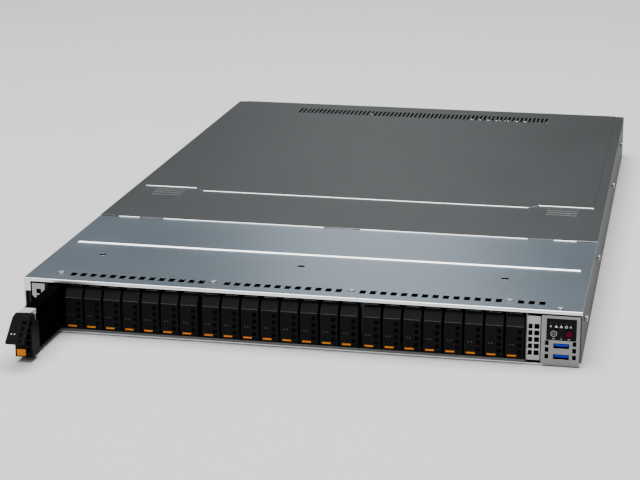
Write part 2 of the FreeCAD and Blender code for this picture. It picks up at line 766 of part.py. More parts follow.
def make_drive_bezel():
    """Hollow bezel of a carrier: vent holes, window of the release tab and bored hinge block."""
    body = new_body("drive_bezel", kept=False)
    shell = block(body, "-bezel_wide / 2", "bezel_front", "bezel_foot", "bezel_wide / 2", "module_front",
                  "bezel_top")
    foot = value("bezel_foot")
    front = value("bezel_front")
    soften(body, shell, "Fillet", "bezel_round",
           lambda edge: along(edge, "x") and edge.CenterOfMass.y < front + TOUCH and edge.CenterOfMass.z < foot + TOUCH)
    hollow = new_sketch(body, "front", "bezel_front + bezel_wall")
    rectangle(hollow, "bezel_wall - bezel_wide / 2", "bezel_foot + bezel_wall",
              "bezel_wide / 2 - bezel_wall", "bezel_top - bezel_wall")
    cut(body, hollow, "module_front - bezel_front")
    vent = new_sketch(body, "front", "bezel_front")
    centred(vent, "bezel_vent_across", "bezel_vent_low", "bezel_vent_wide", "bezel_vent_tall")
    repeat(body, [cut(body, vent, "bezel_wall")], "Z", "bezel_vent_count", "bezel_vent_pitch")
    window = new_sketch(body, "front", "bezel_front")
    gap = "run_gap / 2"
    rectangle(window, f"release_left - {gap}", f"release_foot - {gap}",
              f"release_left + release_wide + {gap}", f"release_foot + release_tall + {gap}")
    cut(body, window, "bezel_wall")
    block(body, "-hinge_block_wide / 2", "hinge_back - hinge_neck_half", "bezel_top",
          "hinge_block_wide / 2", "hinge_back + hinge_neck_half", "hinge_up")
    boss = new_sketch(body, "side", "-hinge_block_wide / 2")
    circle(boss, "hinge_back", "hinge_up", "hinge_block_round")
    pad(body, boss, "hinge_block_wide")
    bore = new_sketch(body, "side", "-hinge_block_wide / 2")
    circle(bore, "hinge_back", "hinge_up", "pin_radius + pin_gap")
    cut(body, bore, "hinge_block_wide")
    return body


def make_drive_clip(label, flanged):
    """Bright folded bracket between the bezel and the top of the module."""
    body = new_body(label, kept=False)
    side = "module_wide / 2"
    fold = new_sketch(body, "side", f"-{side}")
    outline(fold, [
        ("clip_front", "clip_top"), ("clip_front", "clip_top - clip_sheet"),
        ("module_front - clip_sheet", "clip_top - clip_sheet"), ("module_front - clip_sheet", "bezel_top"),
        ("module_front", "bezel_top"), ("module_front", "clip_top"),
    ])
    pad(body, fold, "module_wide")
    if flanged:
        block(body, side, "hinge_back + knuckle_round + run_gap", "clip_top - clip_flange",
              f"{side} + clip_sheet", "module_front", "clip_top")
    return body


def make_drive_lever():
    """Ejector lever, closed: bent front plate with vent holes, hollow knuckle and two stub pins."""
    body = new_body("drive_lever", kept=False)
    front = "lever_front - hinge_back"
    profile = new_sketch(body, "side", "-lever_wide / 2")
    outline(profile, [
        (front, "lever_tip - hinge_up"), (f"{front} + lever_thick", "lever_tip - hinge_up"),
        (f"{front} + lever_thick", f"lever_bend - hinge_up - lever_thick * tan((90 deg - {LEVER_RISE}) / 2)"),
        ("0", "0"),
        (f"-knuckle_round * sin({LEVER_RISE})", f"knuckle_round * cos({LEVER_RISE})"),
        (front, "lever_bend - hinge_up"),
    ])
    pad(body, profile, "lever_wide")
    knuckle = new_sketch(body, "side", "-lever_wide / 2")
    circle(knuckle, "0", "0", "knuckle_round")
    pad(body, knuckle, "lever_wide")
    room = "(hinge_block_wide + 2 * run_gap)"
    bowl = new_sketch(body, "side", f"-{room} / 2")
    circle(bowl, "0", "0", "hinge_block_round + run_gap")
    cut(body, bowl, room)
    back = new_sketch(body, "side", f"-{room} / 2")
    rectangle(back, "0", "-2 * knuckle_round", "2 * knuckle_round", "2 * knuckle_round")
    cut(body, back, room)
    under = new_sketch(body, "side", f"-{room} / 2")
    rectangle(under, "-hinge_neck_half - run_gap", "-2 * knuckle_round", "2 * knuckle_round", "0")
    cut(body, under, room)
    for start in (f"-{room} / 2", "hinge_block_wide / 2 - 4 * run_gap"):
        pin = new_sketch(body, "side", start)
        circle(pin, "0", "0", "pin_radius")
        pad(body, pin, "5 * run_gap")
    vent = new_sketch(body, "front", front)
    centred(vent, "bezel_vent_across", "bezel_vent_low - hinge_up", "bezel_vent_wide", "bezel_vent_tall")
    repeat(body, [cut(body, vent, "lever_thick")], "Z", "bezel_vent_count", "bezel_vent_pitch")
    place(body, "0", "hinge_back", "hinge_up")
    return body


def make_drive_release():
    """Coloured release tab in the bezel's window."""
    body = new_body("drive_release", kept=False)
    block(body, "release_left", "bezel_front", "release_foot", "release_left + release_wide",
          "bezel_front + release_thick", "release_foot + release_tall")
    return body


def make_drive_front():
    """Bezel of a seated carrier with its lever shut on it, in one solid with fewer faces."""
    body = new_body("drive_front", kept=False)
    profile = new_sketch(body, "side", "-lever_wide / 2")
    outline(profile, [
        ("bezel_front", "bezel_foot"), ("bezel_front", "lever_tip"), ("lever_front", "lever_tip"),
        ("lever_front", "lever_bend"),
        (f"hinge_back - knuckle_round * sin({LEVER_RISE})", f"hinge_up + knuckle_round * cos({LEVER_RISE})"),
        ("hinge_back", "hinge_up + knuckle_round"), ("hinge_back + knuckle_round", "hinge_up"),
        ("hinge_back + knuckle_round", "bezel_top"), ("module_front", "bezel_top"), ("module_front", "bezel_foot"),
    ])
    pad(body, profile, "lever_wide")
    seat = new_sketch(body, "front", "lever_front")
    rectangle(seat, "release_left", "release_foot", "release_left + release_wide", "release_foot + release_tall")
    cut(body, seat, "bezel_front - lever_front + release_thick")
    shut = new_sketch(body, "front", "lever_front")
    rectangle(shut, "release_left", "lever_tip", "release_left + release_wide", "release_foot + release_tall")
    pad(body, shut, "lever_thick")
    return body


def make_drives():
    """Set out the 24 carriers: the first drawn out with its lever open, the rest seated and closed."""
    module, bezel, clip = make_drive_module(), make_drive_bezel(), make_drive_clip("drive_clip", True)
    lever, release = make_drive_lever(), make_drive_release()
    shut_front, shut_clip = make_drive_front(), make_drive_clip("shut_clip", False)
    named = {"module": module, "bezel": bezel, "clip": clip, "lever": lever, "release": release}
    for name, piece in named.items():
        first = group_of("drive_01_" + name, [piece])
        place(first, "drive_first", "-pulled_out")
    opened = doc.getObject("drive_01_lever")
    opened.Placement.Rotation = FreeCAD.Rotation(FreeCAD.Vector(1, 0, 0), -value("lever_open_angle"))
    turned_back = "hinge_back * cos(lever_open_angle) + hinge_up * sin(lever_open_angle)"
    turned_up = "hinge_up * cos(lever_open_angle) - hinge_back * sin(lever_open_angle)"
    place(opened, "drive_first", f"hinge_back - ({turned_back}) - pulled_out", f"hinge_up - ({turned_up})")
    for index in range(1, 3 * int(value("group_count"))):
        drive = group_of(f"drive_{index + 1:02d}", [module, shut_front, shut_clip, release])
        group, order = divmod(index, int(value("group_count")))
        place(drive, f"{GROUPS[group]} + {order} * drive_pitch")


def make_left_vent_plate():
    """Perforated plate between the corner post and the first drive, stepped at its outer edge."""
    body = new_body("left_vent_plate")
    left, right = f"post_width + left_plate_gap - {HALF}", f"{BAY_LEFT} - cage_sheet"
    face = new_sketch(body, "front", "0")
    outline(face, [
        (left, "left_plate_top"), (right, "left_plate_top"), (right, "plate_foot"),
        (f"{left} + left_plate_inset", "plate_foot"),
        (f"{left} + left_plate_inset", "left_plate_step - left_plate_inset"), (left, "left_plate_step"),
    ])
    pad(body, face, "plate_sheet")
    block(body, f"{right} - plate_sheet", "plate_sheet", "plate_foot", right, "plate_return", "left_plate_top")
    hole = new_sketch(body, "front", "0")
    centred(hole, "left_vent_across", "left_vent_low", "square_vent", "square_vent")
    repeat(body, [cut(body, hole, "plate_sheet")], "Z", "left_vent_count", "square_pitch_up")
    return body


def make_right_vent_plate():
    """Perforated plate between the last drive and the control panel."""
    body = new_body("right_vent_plate")
    left, right = f"{BAY_RIGHT} + cage_sheet", "panel_start - panel_seam"
    block(body, left, "0", "plate_foot", right, "plate_sheet", "right_plate_top")
    block(body, left, "plate_sheet", "plate_foot", f"{left} + plate_sheet", "plate_return", "right_plate_top")
    hole = new_sketch(body, "front", "0")
    centred(hole, "right_vent_across", "right_vent_low", "square_vent", "square_vent")
    repeat(body, [cut(body, hole, "plate_sheet")], "X", "2", "square_pitch_across",
           ("Z", "right_vent_count", "square_pitch_up"))
    return body


def make_corner_insert():
    """Dark grooved insert below the left corner post."""
    body = new_body("corner_insert")
    block(body, f"-{INNER_WALL}", "0", "tray_sheet", f"post_width - {HALF}", "insert_depth", "post_foot")
    middle = f"(post_width + tray_sheet) / 2 - {HALF}"
    groove = new_sketch(body, "top", "tray_sheet")
    rectangle(groove, f"{middle} - plate_sheet", "0", f"{middle} + plate_sheet", "3 * plate_sheet")
    cut(body, groove, "post_foot")
    return body


def make_control_panel():
    """Panel housing: chamfered front plate, hollow box, window recess, sockets, buttons and vents."""
    body = new_body("control_panel")
    face = new_sketch(body, "front", "-plate_sheet")
    outline(face, [
        ("panel_start + panel_chamfer", "panel_foot"), (INNER_WALL, "panel_foot"), (INNER_WALL, "panel_top"),
        ("panel_start", "panel_top"), ("panel_start", "panel_foot + panel_chamfer"),
    ])
    pad(body, face, "plate_sheet")
    box_left = "panel_start + plate_sheet"
    block(body, box_left, "0", "tray_sheet", INNER_WALL, "panel_depth", "panel_top")
    hollow = new_sketch(body, "front", "panel_skin")
    rectangle(hollow, f"{box_left} + panel_skin", "tray_sheet + panel_skin",
              f"{INNER_WALL} - panel_skin", "panel_top - panel_skin")
    cut(body, hollow, "panel_depth")
    through = "plate_sheet + panel_skin"
    recess = new_sketch(body, "front", "-plate_sheet")
    rectangle(recess, "window_start", "window_foot", "window_start + window_wide", "window_foot + window_tall")
    cut(body, recess, "window_thick")
    opening = new_sketch(body, "front", "window_thick - plate_sheet")
    rectangle(opening, "window_start + panel_skin", "window_foot + panel_skin",
              "window_start + window_wide - panel_skin", "window_foot + window_tall - panel_skin")
    cut(body, opening, "panel_skin + plate_sheet - window_thick")
    socket = new_sketch(body, "front", "-plate_sheet")
    centred(socket, "usb_across", "usb_low + usb_tall / 2", "(usb_wide + run_gap)", "(usb_tall + run_gap)")
    repeat(body, [cut(body, socket, through)], "Z", "2", "usb_pitch")
    for across in ("side_vent_left", "side_vent_right"):
        vent = new_sketch(body, "front", "-plate_sheet")
        centred(vent, across, "side_vent_low", "side_vent_wide", "side_vent_tall")
        repeat(body, [cut(body, vent, through)], "Z", "side_vent_count", "side_vent_pitch")
    return body


def make_panel_window():
    """Dark label window set in the control panel, with clearance round both buttons."""
    body = new_body("panel_window")
    face = new_sketch(body, "front", "-plate_sheet")
    rectangle(face, "window_start", "window_foot", "window_start + window_wide", "window_foot + window_tall")
    regular(face, "power_across", "button_up", "power_radius + button_gap", 16)
    regular(face, "locate_across", "button_up", "locate_radius + button_gap", 16)
    pad(body, face, "window_thick")
    return body


def make_button(label, across, radius):
    """Round push button that stands slightly proud of the window."""
    body = new_body(label)
    face = new_sketch(body, "front", "-plate_sheet - button_proud")
    circle(face, across, "button_up", radius)
    pad(body, face, "button_long")
    return body


def make_usb_ports():
    """Two stacked sockets: metal shells with a tongue inside."""
    body = new_body("usb_ports")
    front, middle = "-plate_sheet + window_thick / 2", "usb_low + usb_tall / 2"
    shell = new_sketch(body, "front", front)
    centred(shell, "usb_across", middle, "usb_wide", "usb_tall")
    centred(shell, "usb_across", middle, "(usb_wide - 2 * usb_skin)", "(usb_tall - 2 * usb_skin)")
    sleeve = pad(body, shell, "usb_long")
    back = new_sketch(body, "front", f"{front} + usb_long - plate_sheet")
    centred(back, "usb_across", middle, "(usb_wide - usb_skin)", "(usb_tall - usb_skin)")
    wall = pad(body, back, "plate_sheet")
    tongue = new_sketch(body, "front", f"{front} + usb_long - tongue_long")
    centred(tongue, "usb_across", f"{middle} + usb_skin", "tongue_wide", "tongue_thick")
    repeat(body, [sleeve, wall, pad(body, tongue, "tongue_long")], "Z", "2", "usb_pitch")
    return body


def make_drive_backplane():
    """Upright board behind the drives: slotted connectors and air windows."""
    body = new_body("drive_backplane")
    block(body, BAY_LEFT, BACKPLANE_FRONT, CAGE_FLOOR, BAY_RIGHT, f"{BACKPLANE_FRONT} + backplane_thick", CAGE_ROOF)
    connector = new_sketch(body, "front", CONNECTOR_FRONT)
    slot = new_sketch(body, "front", CONNECTOR_FRONT)
    window = new_sketch(body, "front", BACKPLANE_FRONT)
    for first in GROUPS:
        centred(connector, first, MODULE_MIDDLE, "connector_wide", "connector_tall")
        centred(slot, first, MODULE_MIDDLE, "(edge_thick + 2 * slot_gap)", "(edge_tall + 2 * slot_gap)")
        rectangle(window, f"{first} - module_wide / 2", f"{MODULE_MIDDLE} + connector_tall / 2 + window_rim",
                  f"{first} + (group_count - 1) * drive_pitch + module_wide / 2", f"{CAGE_ROOF} - window_rim")
    housing = pad(body, connector, "connector_long")
    mouth = cut(body, slot, "edge_long")
    repeat(body, [housing, mouth], "X", "group_count", "drive_pitch")
    cut(body, window, "backplane_thick")
    return body


def make_fan_frames():
    """Row of square fan frames, each with a bore and a motor held by crossed struts."""
    body = new_body("fan_frames")
    first = "-(fan_count - 1) * fan_pitch / 2"
    middle = "tray_sheet + fan_size / 2"
    ring = new_sketch(body, "front", "fan_front")
    centred(ring, first, middle, "fan_size", "fan_size")
    regular(ring, first, middle, "fan_bore", 16)
    frame = pad(body, ring, "fan_long")
    motor_front = "fan_front + hub_inset + hub_long + shaft_gap"
    motor = new_sketch(body, "front", motor_front)
    regular(motor, first, middle, "hub_radius", 8)
    stator = pad(body, motor, "hub_long")
    bars = []
    for wide, tall in (("2 * fan_bore + run_gap", "strut_wide"), ("strut_wide", "2 * fan_bore + run_gap")):
        cross = new_sketch(body, "front", f"{motor_front} + hub_long - strut_long")
        centred(cross, first, middle, f"({wide})", f"({tall})")
        bars.append(pad(body, cross, "strut_long"))
    repeat(body, [frame, stator, *bars], "X", "fan_count", "fan_pitch")
    return body


def make_fan_rotor(index):
    """Fan rotor on its own axis: hub with leaning blades."""
    body = new_body(f"fan_rotor_{index + 1}")
    hub = new_sketch(body, "front", "fan_front + hub_inset")
    regular(hub, "0", "0", "hub_radius", 12)
    pad(body, hub, "hub_long")
    blade = new_sketch(body, "side", "blade_root")
    start, end = "fan_front + hub_inset + 1", "fan_front + hub_inset + hub_long - 1"
    outline(blade, [
        (start, "-blade_lean"), (end, "blade_lean"), (end, "blade_lean + blade_thick"),
        (start, "blade_thick - blade_lean"),
    ])
    vane = pad(body, blade, "blade_tip - blade_root")
    ring = body.newObject("PartDesign::PolarPattern", body.Name + "_ring")
    ring.Originals = [vane]
    ring.Axis = (origin_part(body, "Y_Axis"), [""])
    ring.Angle = 360
    bind(ring, "Occurrences", "blade_count")
    body.Tip = ring
    place(body, f"({index} - (fan_count - 1) / 2) * fan_pitch", "0", "tray_sheet + fan_size / 2")
    return body


def bank_starts():
    """Places across of the first module of each of the four memory banks."""
    span = "(memory_count - 1) * memory_pitch"
    return ["-memory_outer", f"-memory_inner - {span}", "memory_inner", f"memory_outer - {span}"]


def make_main_board():
    """Stepped main board on its standoffs, with two processor sockets and four banks of module sockets."""
    body = new_body("main_board")
    low = "tray_sheet + standoff_rise"
    board = new_sketch(body, "top", low)
    step_back, step_across = "supply_back - supply_long - board_gap", f"{SUPPLY_END} + board_gap"
    outline(board, [
        ("-board_half_width", "board_front"), ("board_half_width", "board_front"),
        ("board_half_width", "chassis_depth - board_rear_gap"), (step_across, "chassis_depth - board_rear_gap"),
        (step_across, step_back), ("-board_half_width", step_back),
    ])
    pad(body, board, "board_thick")
    processors = new_sketch(body, "top", BOARD_TOP)
    for across in ("-cooler_across", "cooler_across"):
        centred(processors, across, "(cooler_front + cooler_long / 2)", "processor_wide", "processor_long")
    pad(body, processors, "processor_tall")
    sockets = new_sketch(body, "top", BOARD_TOP)
    for start in bank_starts():
        rectangle(sockets, f"{start} - memory_socket_wide / 2", "memory_front - memory_socket_spare",
                  f"{start} + memory_socket_wide / 2", "memory_front + memory_long + memory_socket_spare")
    repeat(body, [pad(body, sockets, "memory_socket_tall")], "X", "memory_count", "memory_pitch")
    return body


def make_memory_modules():
    """Thirty-two memory modules standing in their sockets."""
    body = new_body("memory_modules")
    sticks = new_sketch(body, "top", f"{BOARD_TOP} + memory_socket_tall")
    for start in bank_starts():
        rectangle(sticks, f"{start} - memory_thick / 2", "memory_front",
                  f"{start} + memory_thick / 2", "memory_front + memory_long")
    repeat(body, [pad(body, sticks, "memory_tall")], "X", "memory_count", "memory_pitch")
    return body


def make_processor_coolers():
    """Two finned heatsinks on the processors."""
    body = new_body("processor_coolers")
    low = f"({BOARD_TOP} + processor_tall)"
    base = new_sketch(body, "top", low)
    fin = new_sketch(body, "top", f"{low} + cooler_base")
    back = "cooler_front + cooler_long"
    for across in ("-cooler_across", "cooler_across"):
        left = f"{across} - cooler_wide / 2"
        rectangle(base, left, "cooler_front", f"{across} + cooler_wide / 2", back)
        rectangle(fin, left, "cooler_front", f"{left} + cooler_fin_thick", back)
    pad(body, base, "cooler_base")
    step = "(cooler_wide - cooler_fin_thick) / (cooler_fin_count - 1)"
    repeat(body, [pad(body, fin, "cooler_fin_tall")], "X", "cooler_fin_count", step)
    return body


def make_power_supply(index):
    """Hot-swap power supply: casing, inlet with its three blades, round grille and loop handle."""
    body = new_body(f"power_supply_{index + 1}")
    face = "supply_back"
    block(body, "0", "supply_back - supply_long", SUPPLY_FOOT, "supply_wide", face, f"{SUPPLY_FOOT} + supply_tall")
    inlet = new_sketch(body, "front", f"{face} - inlet_deep")
    centred(inlet, "inlet_across", "face_up", "inlet_wide", "inlet_tall")
    cut(body, inlet, "inlet_deep")
    prong = new_sketch(body, "front", f"{face} - inlet_deep")
    centred(prong, "(inlet_across - blade_pin_pitch)", "face_up", "blade_pin_wide", "blade_pin_tall")
    repeat(body, [pad(body, prong, "inlet_deep - 2 * blade_pin_wide")], "X", "3", "blade_pin_pitch")
    grille = new_sketch(body, "front", f"{face} - grille_deep")
    regular(grille, "grille_across", "face_up", "grille_radius", 16)
    regular(grille, "grille_across", "face_up", "grille_hub", 8)
    cut(body, grille, "grille_deep")
    for wide, tall in (("2 * grille_radius", "grille_bar"), ("grille_bar", "2 * grille_radius")):
        bar = new_sketch(body, "front", f"{face} - grille_deep")
        centred(bar, "grille_across", "face_up", f"({wide})", tall)
        pad(body, bar, "grille_deep")
    handle = new_sketch(body, "top", "handle_up")
    left, right = "inlet_across - handle_wide / 2", "inlet_across + handle_wide / 2"
    outline(handle, [
        (left, face), (f"{left} + handle_bar", face),
        (f"{left} + handle_bar", f"{face} + handle_reach - handle_bar"),
        (f"{right} - handle_bar", f"{face} + handle_reach - handle_bar"),
        (f"{right} - handle_bar", face), (right, face),
        (right, f"{face} + handle_reach"), (left, f"{face} + handle_reach"),
    ])
    pad(body, handle, "handle_bar")
    place(body, f"{SUPPLY_LEFT} + {index} * (supply_wide + supply_gap)")
    return body


def make_supply_latch(index):
    """Release latch of a power supply, pressed sideways against its rear face."""
    body = new_body(f"supply_latch_{index + 1}")
    foot = new_sketch(body, "top", "latch_up")
    left, right = "latch_across - latch_wide / 2", "latch_across + latch_wide / 2"
    outline(foot, [
        (left, "supply_back"), (right, "supply_back"), (right, "supply_back + plate_sheet"),
        ("latch_across", "supply_back + 2 * plate_sheet"), ("latch_across", "supply_back + latch_reach"),
        (left, "supply_back + latch_reach"),
    ])
    pad(body, foot, "latch_tall")
    place(body, f"{SUPPLY_LEFT} + {index} * (supply_wide + supply_gap)")
    return body


def make_rear_panel():
    """Rear sheet with openings for the supplies, sockets, slots and a vent row."""
    body = new_body("rear_panel")
    front = "chassis_depth - rear_sheet"
    block(body, f"-{INNER_WALL}", front, "tray_sheet", INNER_WALL, "chassis_depth", "rear_top")
    bay = new_sketch(body, "front", front)
    rectangle(bay, f"-{INNER_WALL}", "tray_sheet", f"{SUPPLY_END} + opening_gap", "rear_top")
    cut(body, bay, "rear_sheet")
    mouths = new_sketch(body, "front", front)
    gap = "run_gap / 2"
    sockets = [
        ("network_across - network_pitch / 2", "network_wide", "network_tall"),
        ("network_across + network_pitch / 2", "network_wide", "network_tall"),
        ("stack_across", "stack_wide", "stack_tall"),
        ("display_across", "display_wide", "display_tall"),
    ]
    for across, wide, tall in sockets:
        rectangle(mouths, f"{across} - {wide} / 2 - {gap}", f"{BOARD_TOP} - {gap}",
                  f"{across} + {wide} / 2 + {gap}", f"{BOARD_TOP} + {tall} + {gap}")
    cut(body, mouths, "rear_sheet")
    slot = new_sketch(body, "front", front)
    rectangle(slot, "slot_start", "slot_foot", "slot_start + slot_wide", "slot_foot + slot_tall")
    repeat(body, [cut(body, slot, "rear_sheet")], "X", "2", "slot_pitch")
    vent = new_sketch(body, "front", front)
    centred(vent, "rear_vent_start", "rear_vent_low", "rear_vent_wide", "rear_vent_tall")
    repeat(body, [cut(body, vent, "rear_sheet")], "X", "rear_vent_count", "rear_vent_pitch")
    return body


def make_slot_covers():
    """Two folded blanks behind the expansion slots."""
    body = new_body("slot_covers")
    front = "chassis_depth - rear_sheet - plate_sheet"
    left, right = "slot_start - slot_overlap", "slot_start + slot_wide + slot_overlap"
    low, high = "slot_foot - slot_overlap", "slot_foot + slot_tall + slot_overlap"
    plate = block(body, left, front, low, right, "chassis_depth - rear_sheet", high)
    fold = block(body, left, f"{front} - plate_return", low, f"{left} + plate_sheet", front, high)
    vent = new_sketch(body, "front", front)
    centred(vent, "(slot_start + slot_wide / 8)", "(slot_foot + slot_tall / 2)", "rear_vent_wide", "(slot_tall / 2)")
    hole = cut(body, vent, "plate_sheet")
    repeat(body, [plate, fold], "X", "2", "slot_pitch")
    repeat(body, [hole], "X", "7", "slot_wide / 8", ("X", "2", "slot_pitch"))
    return body


def add_socket(body, across, wide, tall, mouths):
    """Add one rear socket housing and cut its mouths, each (up, wide, tall, deep)."""
    back = "chassis_depth + usb_skin"
    block(body, f"{across} - {wide} / 2", f"{back} - socket_long", BOARD_TOP, f"{across} + {wide} / 2", back,
          f"{BOARD_TOP} + {tall}")
    for up, mouth_wide, mouth_tall, deep in mouths:
        mouth = new_sketch(body, "front", f"{back} - {deep}")
        rectangle(mouth, f"{across} - {mouth_wide} / 2", up, f"{across} + {mouth_wide} / 2", f"{up} + {mouth_tall}")
        cut(body, mouth, deep)


def make_rear_sockets():
    """Network, stacked and display sockets on the board's rear edge."""
    body = new_body("rear_sockets")
    jack = (f"{BOARD_TOP} + network_mouth_up", "network_mouth_wide", "network_mouth_tall", "network_mouth_deep")
    for side in ("-", "+"):
        across = f"(network_across {side} network_pitch / 2)"
        add_socket(body, across, "network_wide", "network_tall", [jack])
    low = f"{BOARD_TOP} + (stack_tall - stack_mouth_pitch - stack_mouth_tall) / 2"
    stack = [(low, "stack_mouth_wide", "stack_mouth_tall", "network_mouth_deep"),
             (f"{low} + stack_mouth_pitch", "stack_mouth_wide", "stack_mouth_tall", "network_mouth_deep")]
    add_socket(body, "stack_across", "stack_wide", "stack_tall", stack)
    display = (f"{BOARD_TOP} + (display_tall - display_mouth_tall) / 2", "display_mouth_wide",
               "display_mouth_tall", "network_mouth_deep")
    add_socket(body, "display_across", "display_wide", "display_tall", [display])
    return body


def make_rail_studs():
    """Four studs on each side wall, which the rails hook on to."""
    body = new_body("rail_studs")
    face = new_sketch(body, "side", HALF)
    for back in ("stud_one_back", "stud_two_back", "stud_three_back", "stud_four_back"):
        circle(face, back, "stud_up", "stud_radius")
    both_sides(body, [pad(body, face, "stud_long")])
    return body


def make_cover_screws():
    """Low screw heads along the front edge of the fixed cover."""
    body = new_body("cover_screws")
    heads = new_sketch(body, "top", FRONT_TOP)
    for across in ("screw_one", "screw_two", "screw_three", "screw_four"):
        regular(heads, across, "screw_back", "screw_radius", 6)
    regular(heads, "corner_screw", "corner_screw_back", "screw_radius", 6)
    pad(body, heads, "screw_head")
    return body


def make_everything():
    """Build every sub-part in the order in which the server goes together."""
    make_chassis_tray()
    make_drive_cage()
    make_drive_backplane()
    make_drives()
    make_left_vent_plate()
    make_right_vent_plate()
    make_corner_insert()
    make_control_panel()
    make_panel_window()
    make_button("power_button", "power_across", "power_radius")
    make_button("locate_button", "locate_across", "locate_radius")
    make_usb_ports()
    make_fan_frames()
    for index in range(int(value("fan_count"))):
        make_fan_rotor(index)
    make_main_board()
    make_memory_modules()
    make_processor_coolers()
    for index in range(2):
        make_power_supply(index)
        make_supply_latch(index)
    make_rear_panel()
    make_slot_covers()
    make_rear_sockets()
    make_rail_studs()
    make_front_cover()
    make_cover_screws()
    make_top_cover()


def check_document():
    """Stop if any object failed or any sub-part has no valid shape."""
    for thing in doc.Objects:
        if {"Invalid", "Error"} & set(thing.State):
            raise RuntimeError(f"{thing.Label}: {thing.State}")
    for part in subparts:
        if part.Shape.isNull() or not part.Shape.isValid() or not part.Shape.Solids:
            raise RuntimeError(f"{part.Label} has no valid shape")


def write_files():
    """Write one file for each sub-part."""
    os.makedirs("parts", exist_ok=True)
    for part in subparts:
        part.Shape.exportStep(f"parts/{part.Label}.step")


fill_sheet()
make_everything()
doc.recompute()
check_document()
write_files()
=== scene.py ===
"""Looks of the flat rack server: finishes, dressed sheet metal, carriers, controls, inner parts, stage."""

import json
import logging
import math
import random
from collections.abc import Callable, Iterable
from dataclasses import dataclass
from enum import Enum

import bmesh
import bpy
from mathutils import Matrix, Vector

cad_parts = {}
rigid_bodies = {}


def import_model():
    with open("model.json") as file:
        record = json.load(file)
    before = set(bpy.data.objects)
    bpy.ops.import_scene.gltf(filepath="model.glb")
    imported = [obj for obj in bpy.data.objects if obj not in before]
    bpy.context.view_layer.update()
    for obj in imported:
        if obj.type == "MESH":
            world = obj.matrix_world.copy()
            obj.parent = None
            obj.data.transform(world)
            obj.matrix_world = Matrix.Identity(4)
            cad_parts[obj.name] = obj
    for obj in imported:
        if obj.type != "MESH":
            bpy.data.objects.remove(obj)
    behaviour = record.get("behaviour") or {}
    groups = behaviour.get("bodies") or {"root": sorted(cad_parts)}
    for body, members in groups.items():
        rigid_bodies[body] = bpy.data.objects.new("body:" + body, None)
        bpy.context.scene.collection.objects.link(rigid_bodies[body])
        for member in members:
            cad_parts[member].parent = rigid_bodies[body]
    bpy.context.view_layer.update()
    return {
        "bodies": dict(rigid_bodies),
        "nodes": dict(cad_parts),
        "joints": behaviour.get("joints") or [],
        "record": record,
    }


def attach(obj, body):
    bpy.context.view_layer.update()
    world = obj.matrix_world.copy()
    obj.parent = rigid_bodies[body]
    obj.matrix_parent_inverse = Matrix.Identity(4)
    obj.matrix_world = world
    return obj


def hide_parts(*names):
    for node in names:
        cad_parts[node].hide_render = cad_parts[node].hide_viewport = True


LOG = logging.getLogger("rack_server")
MM = 0.001
MERGE_GAP = 0.000002
CUT_GAP = 0.0001
REGION_SLACK = 0.001
FACE_REACH = 0.1
POCKET_WALL = 0.05
ROUNDING_STEPS = 2
BAR_SIDES = 10
FLAT_ANGLE = math.radians(1.0)
ROUNDED_ANGLE = math.radians(28.0)
SMOOTH_ANGLE = math.radians(34.0)
LEANING = 0.2
SLANTED = 0.3
STEEP = 0.5
SQUARE = 0.9
NEARLY_FACING = 0.98
BUMP_DEPTH = 0.0002
WEAR_LAYER = "edge_wear"
MID_GREY = (0.5, 0.5, 0.5, 1.0)
WHITE = (1.0, 1.0, 1.0, 1.0)
Triple = tuple[float, float, float]
Pair = tuple[float, float]
Box = tuple[Triple, Triple]


class Facing(Enum):
    """Side of a piece that a pocket opens on."""

    FRONT = (0.0, -1.0, 0.0)
    TOP = (0.0, 0.0, 1.0)


class Grain(Enum):
    """Stretch of a finish's grain along the three axes."""

    EVEN = (1.0, 1.0, 1.0)
    ACROSS = (0.05, 1.0, 1.0)
    LENGTHWISE = (1.0, 0.05, 1.0)


class Mark(Enum):
    """Plain form of a printed mark."""

    TRIANGLE = "triangle"
    BLOCK = "block"
    RING = "ring"


class Socket(Enum):
    """Kind of an input or output of a node group."""

    COLOUR = "NodeSocketColor"
    NUMBER = "NodeSocketFloat"
    VECTOR = "NodeSocketVector"


def set_inputs(node: bpy.types.Node, values: dict[str, object]) -> None:
    """Set a node's inputs by their labels."""
    for label, value in values.items():
        node.inputs[label].default_value = value


def within(place: Vector, low: Triple, high: Triple) -> bool:
    """Tell whether a place lies between two corners."""
    return all(low[k] <= place[k] <= high[k] for k in range(3))


def raised(box: Box, up: float) -> Box:
    """Return a box moved up."""
    low, high = box
    return (low[0], low[1], low[2] + up), (high[0], high[1], high[2] + up)


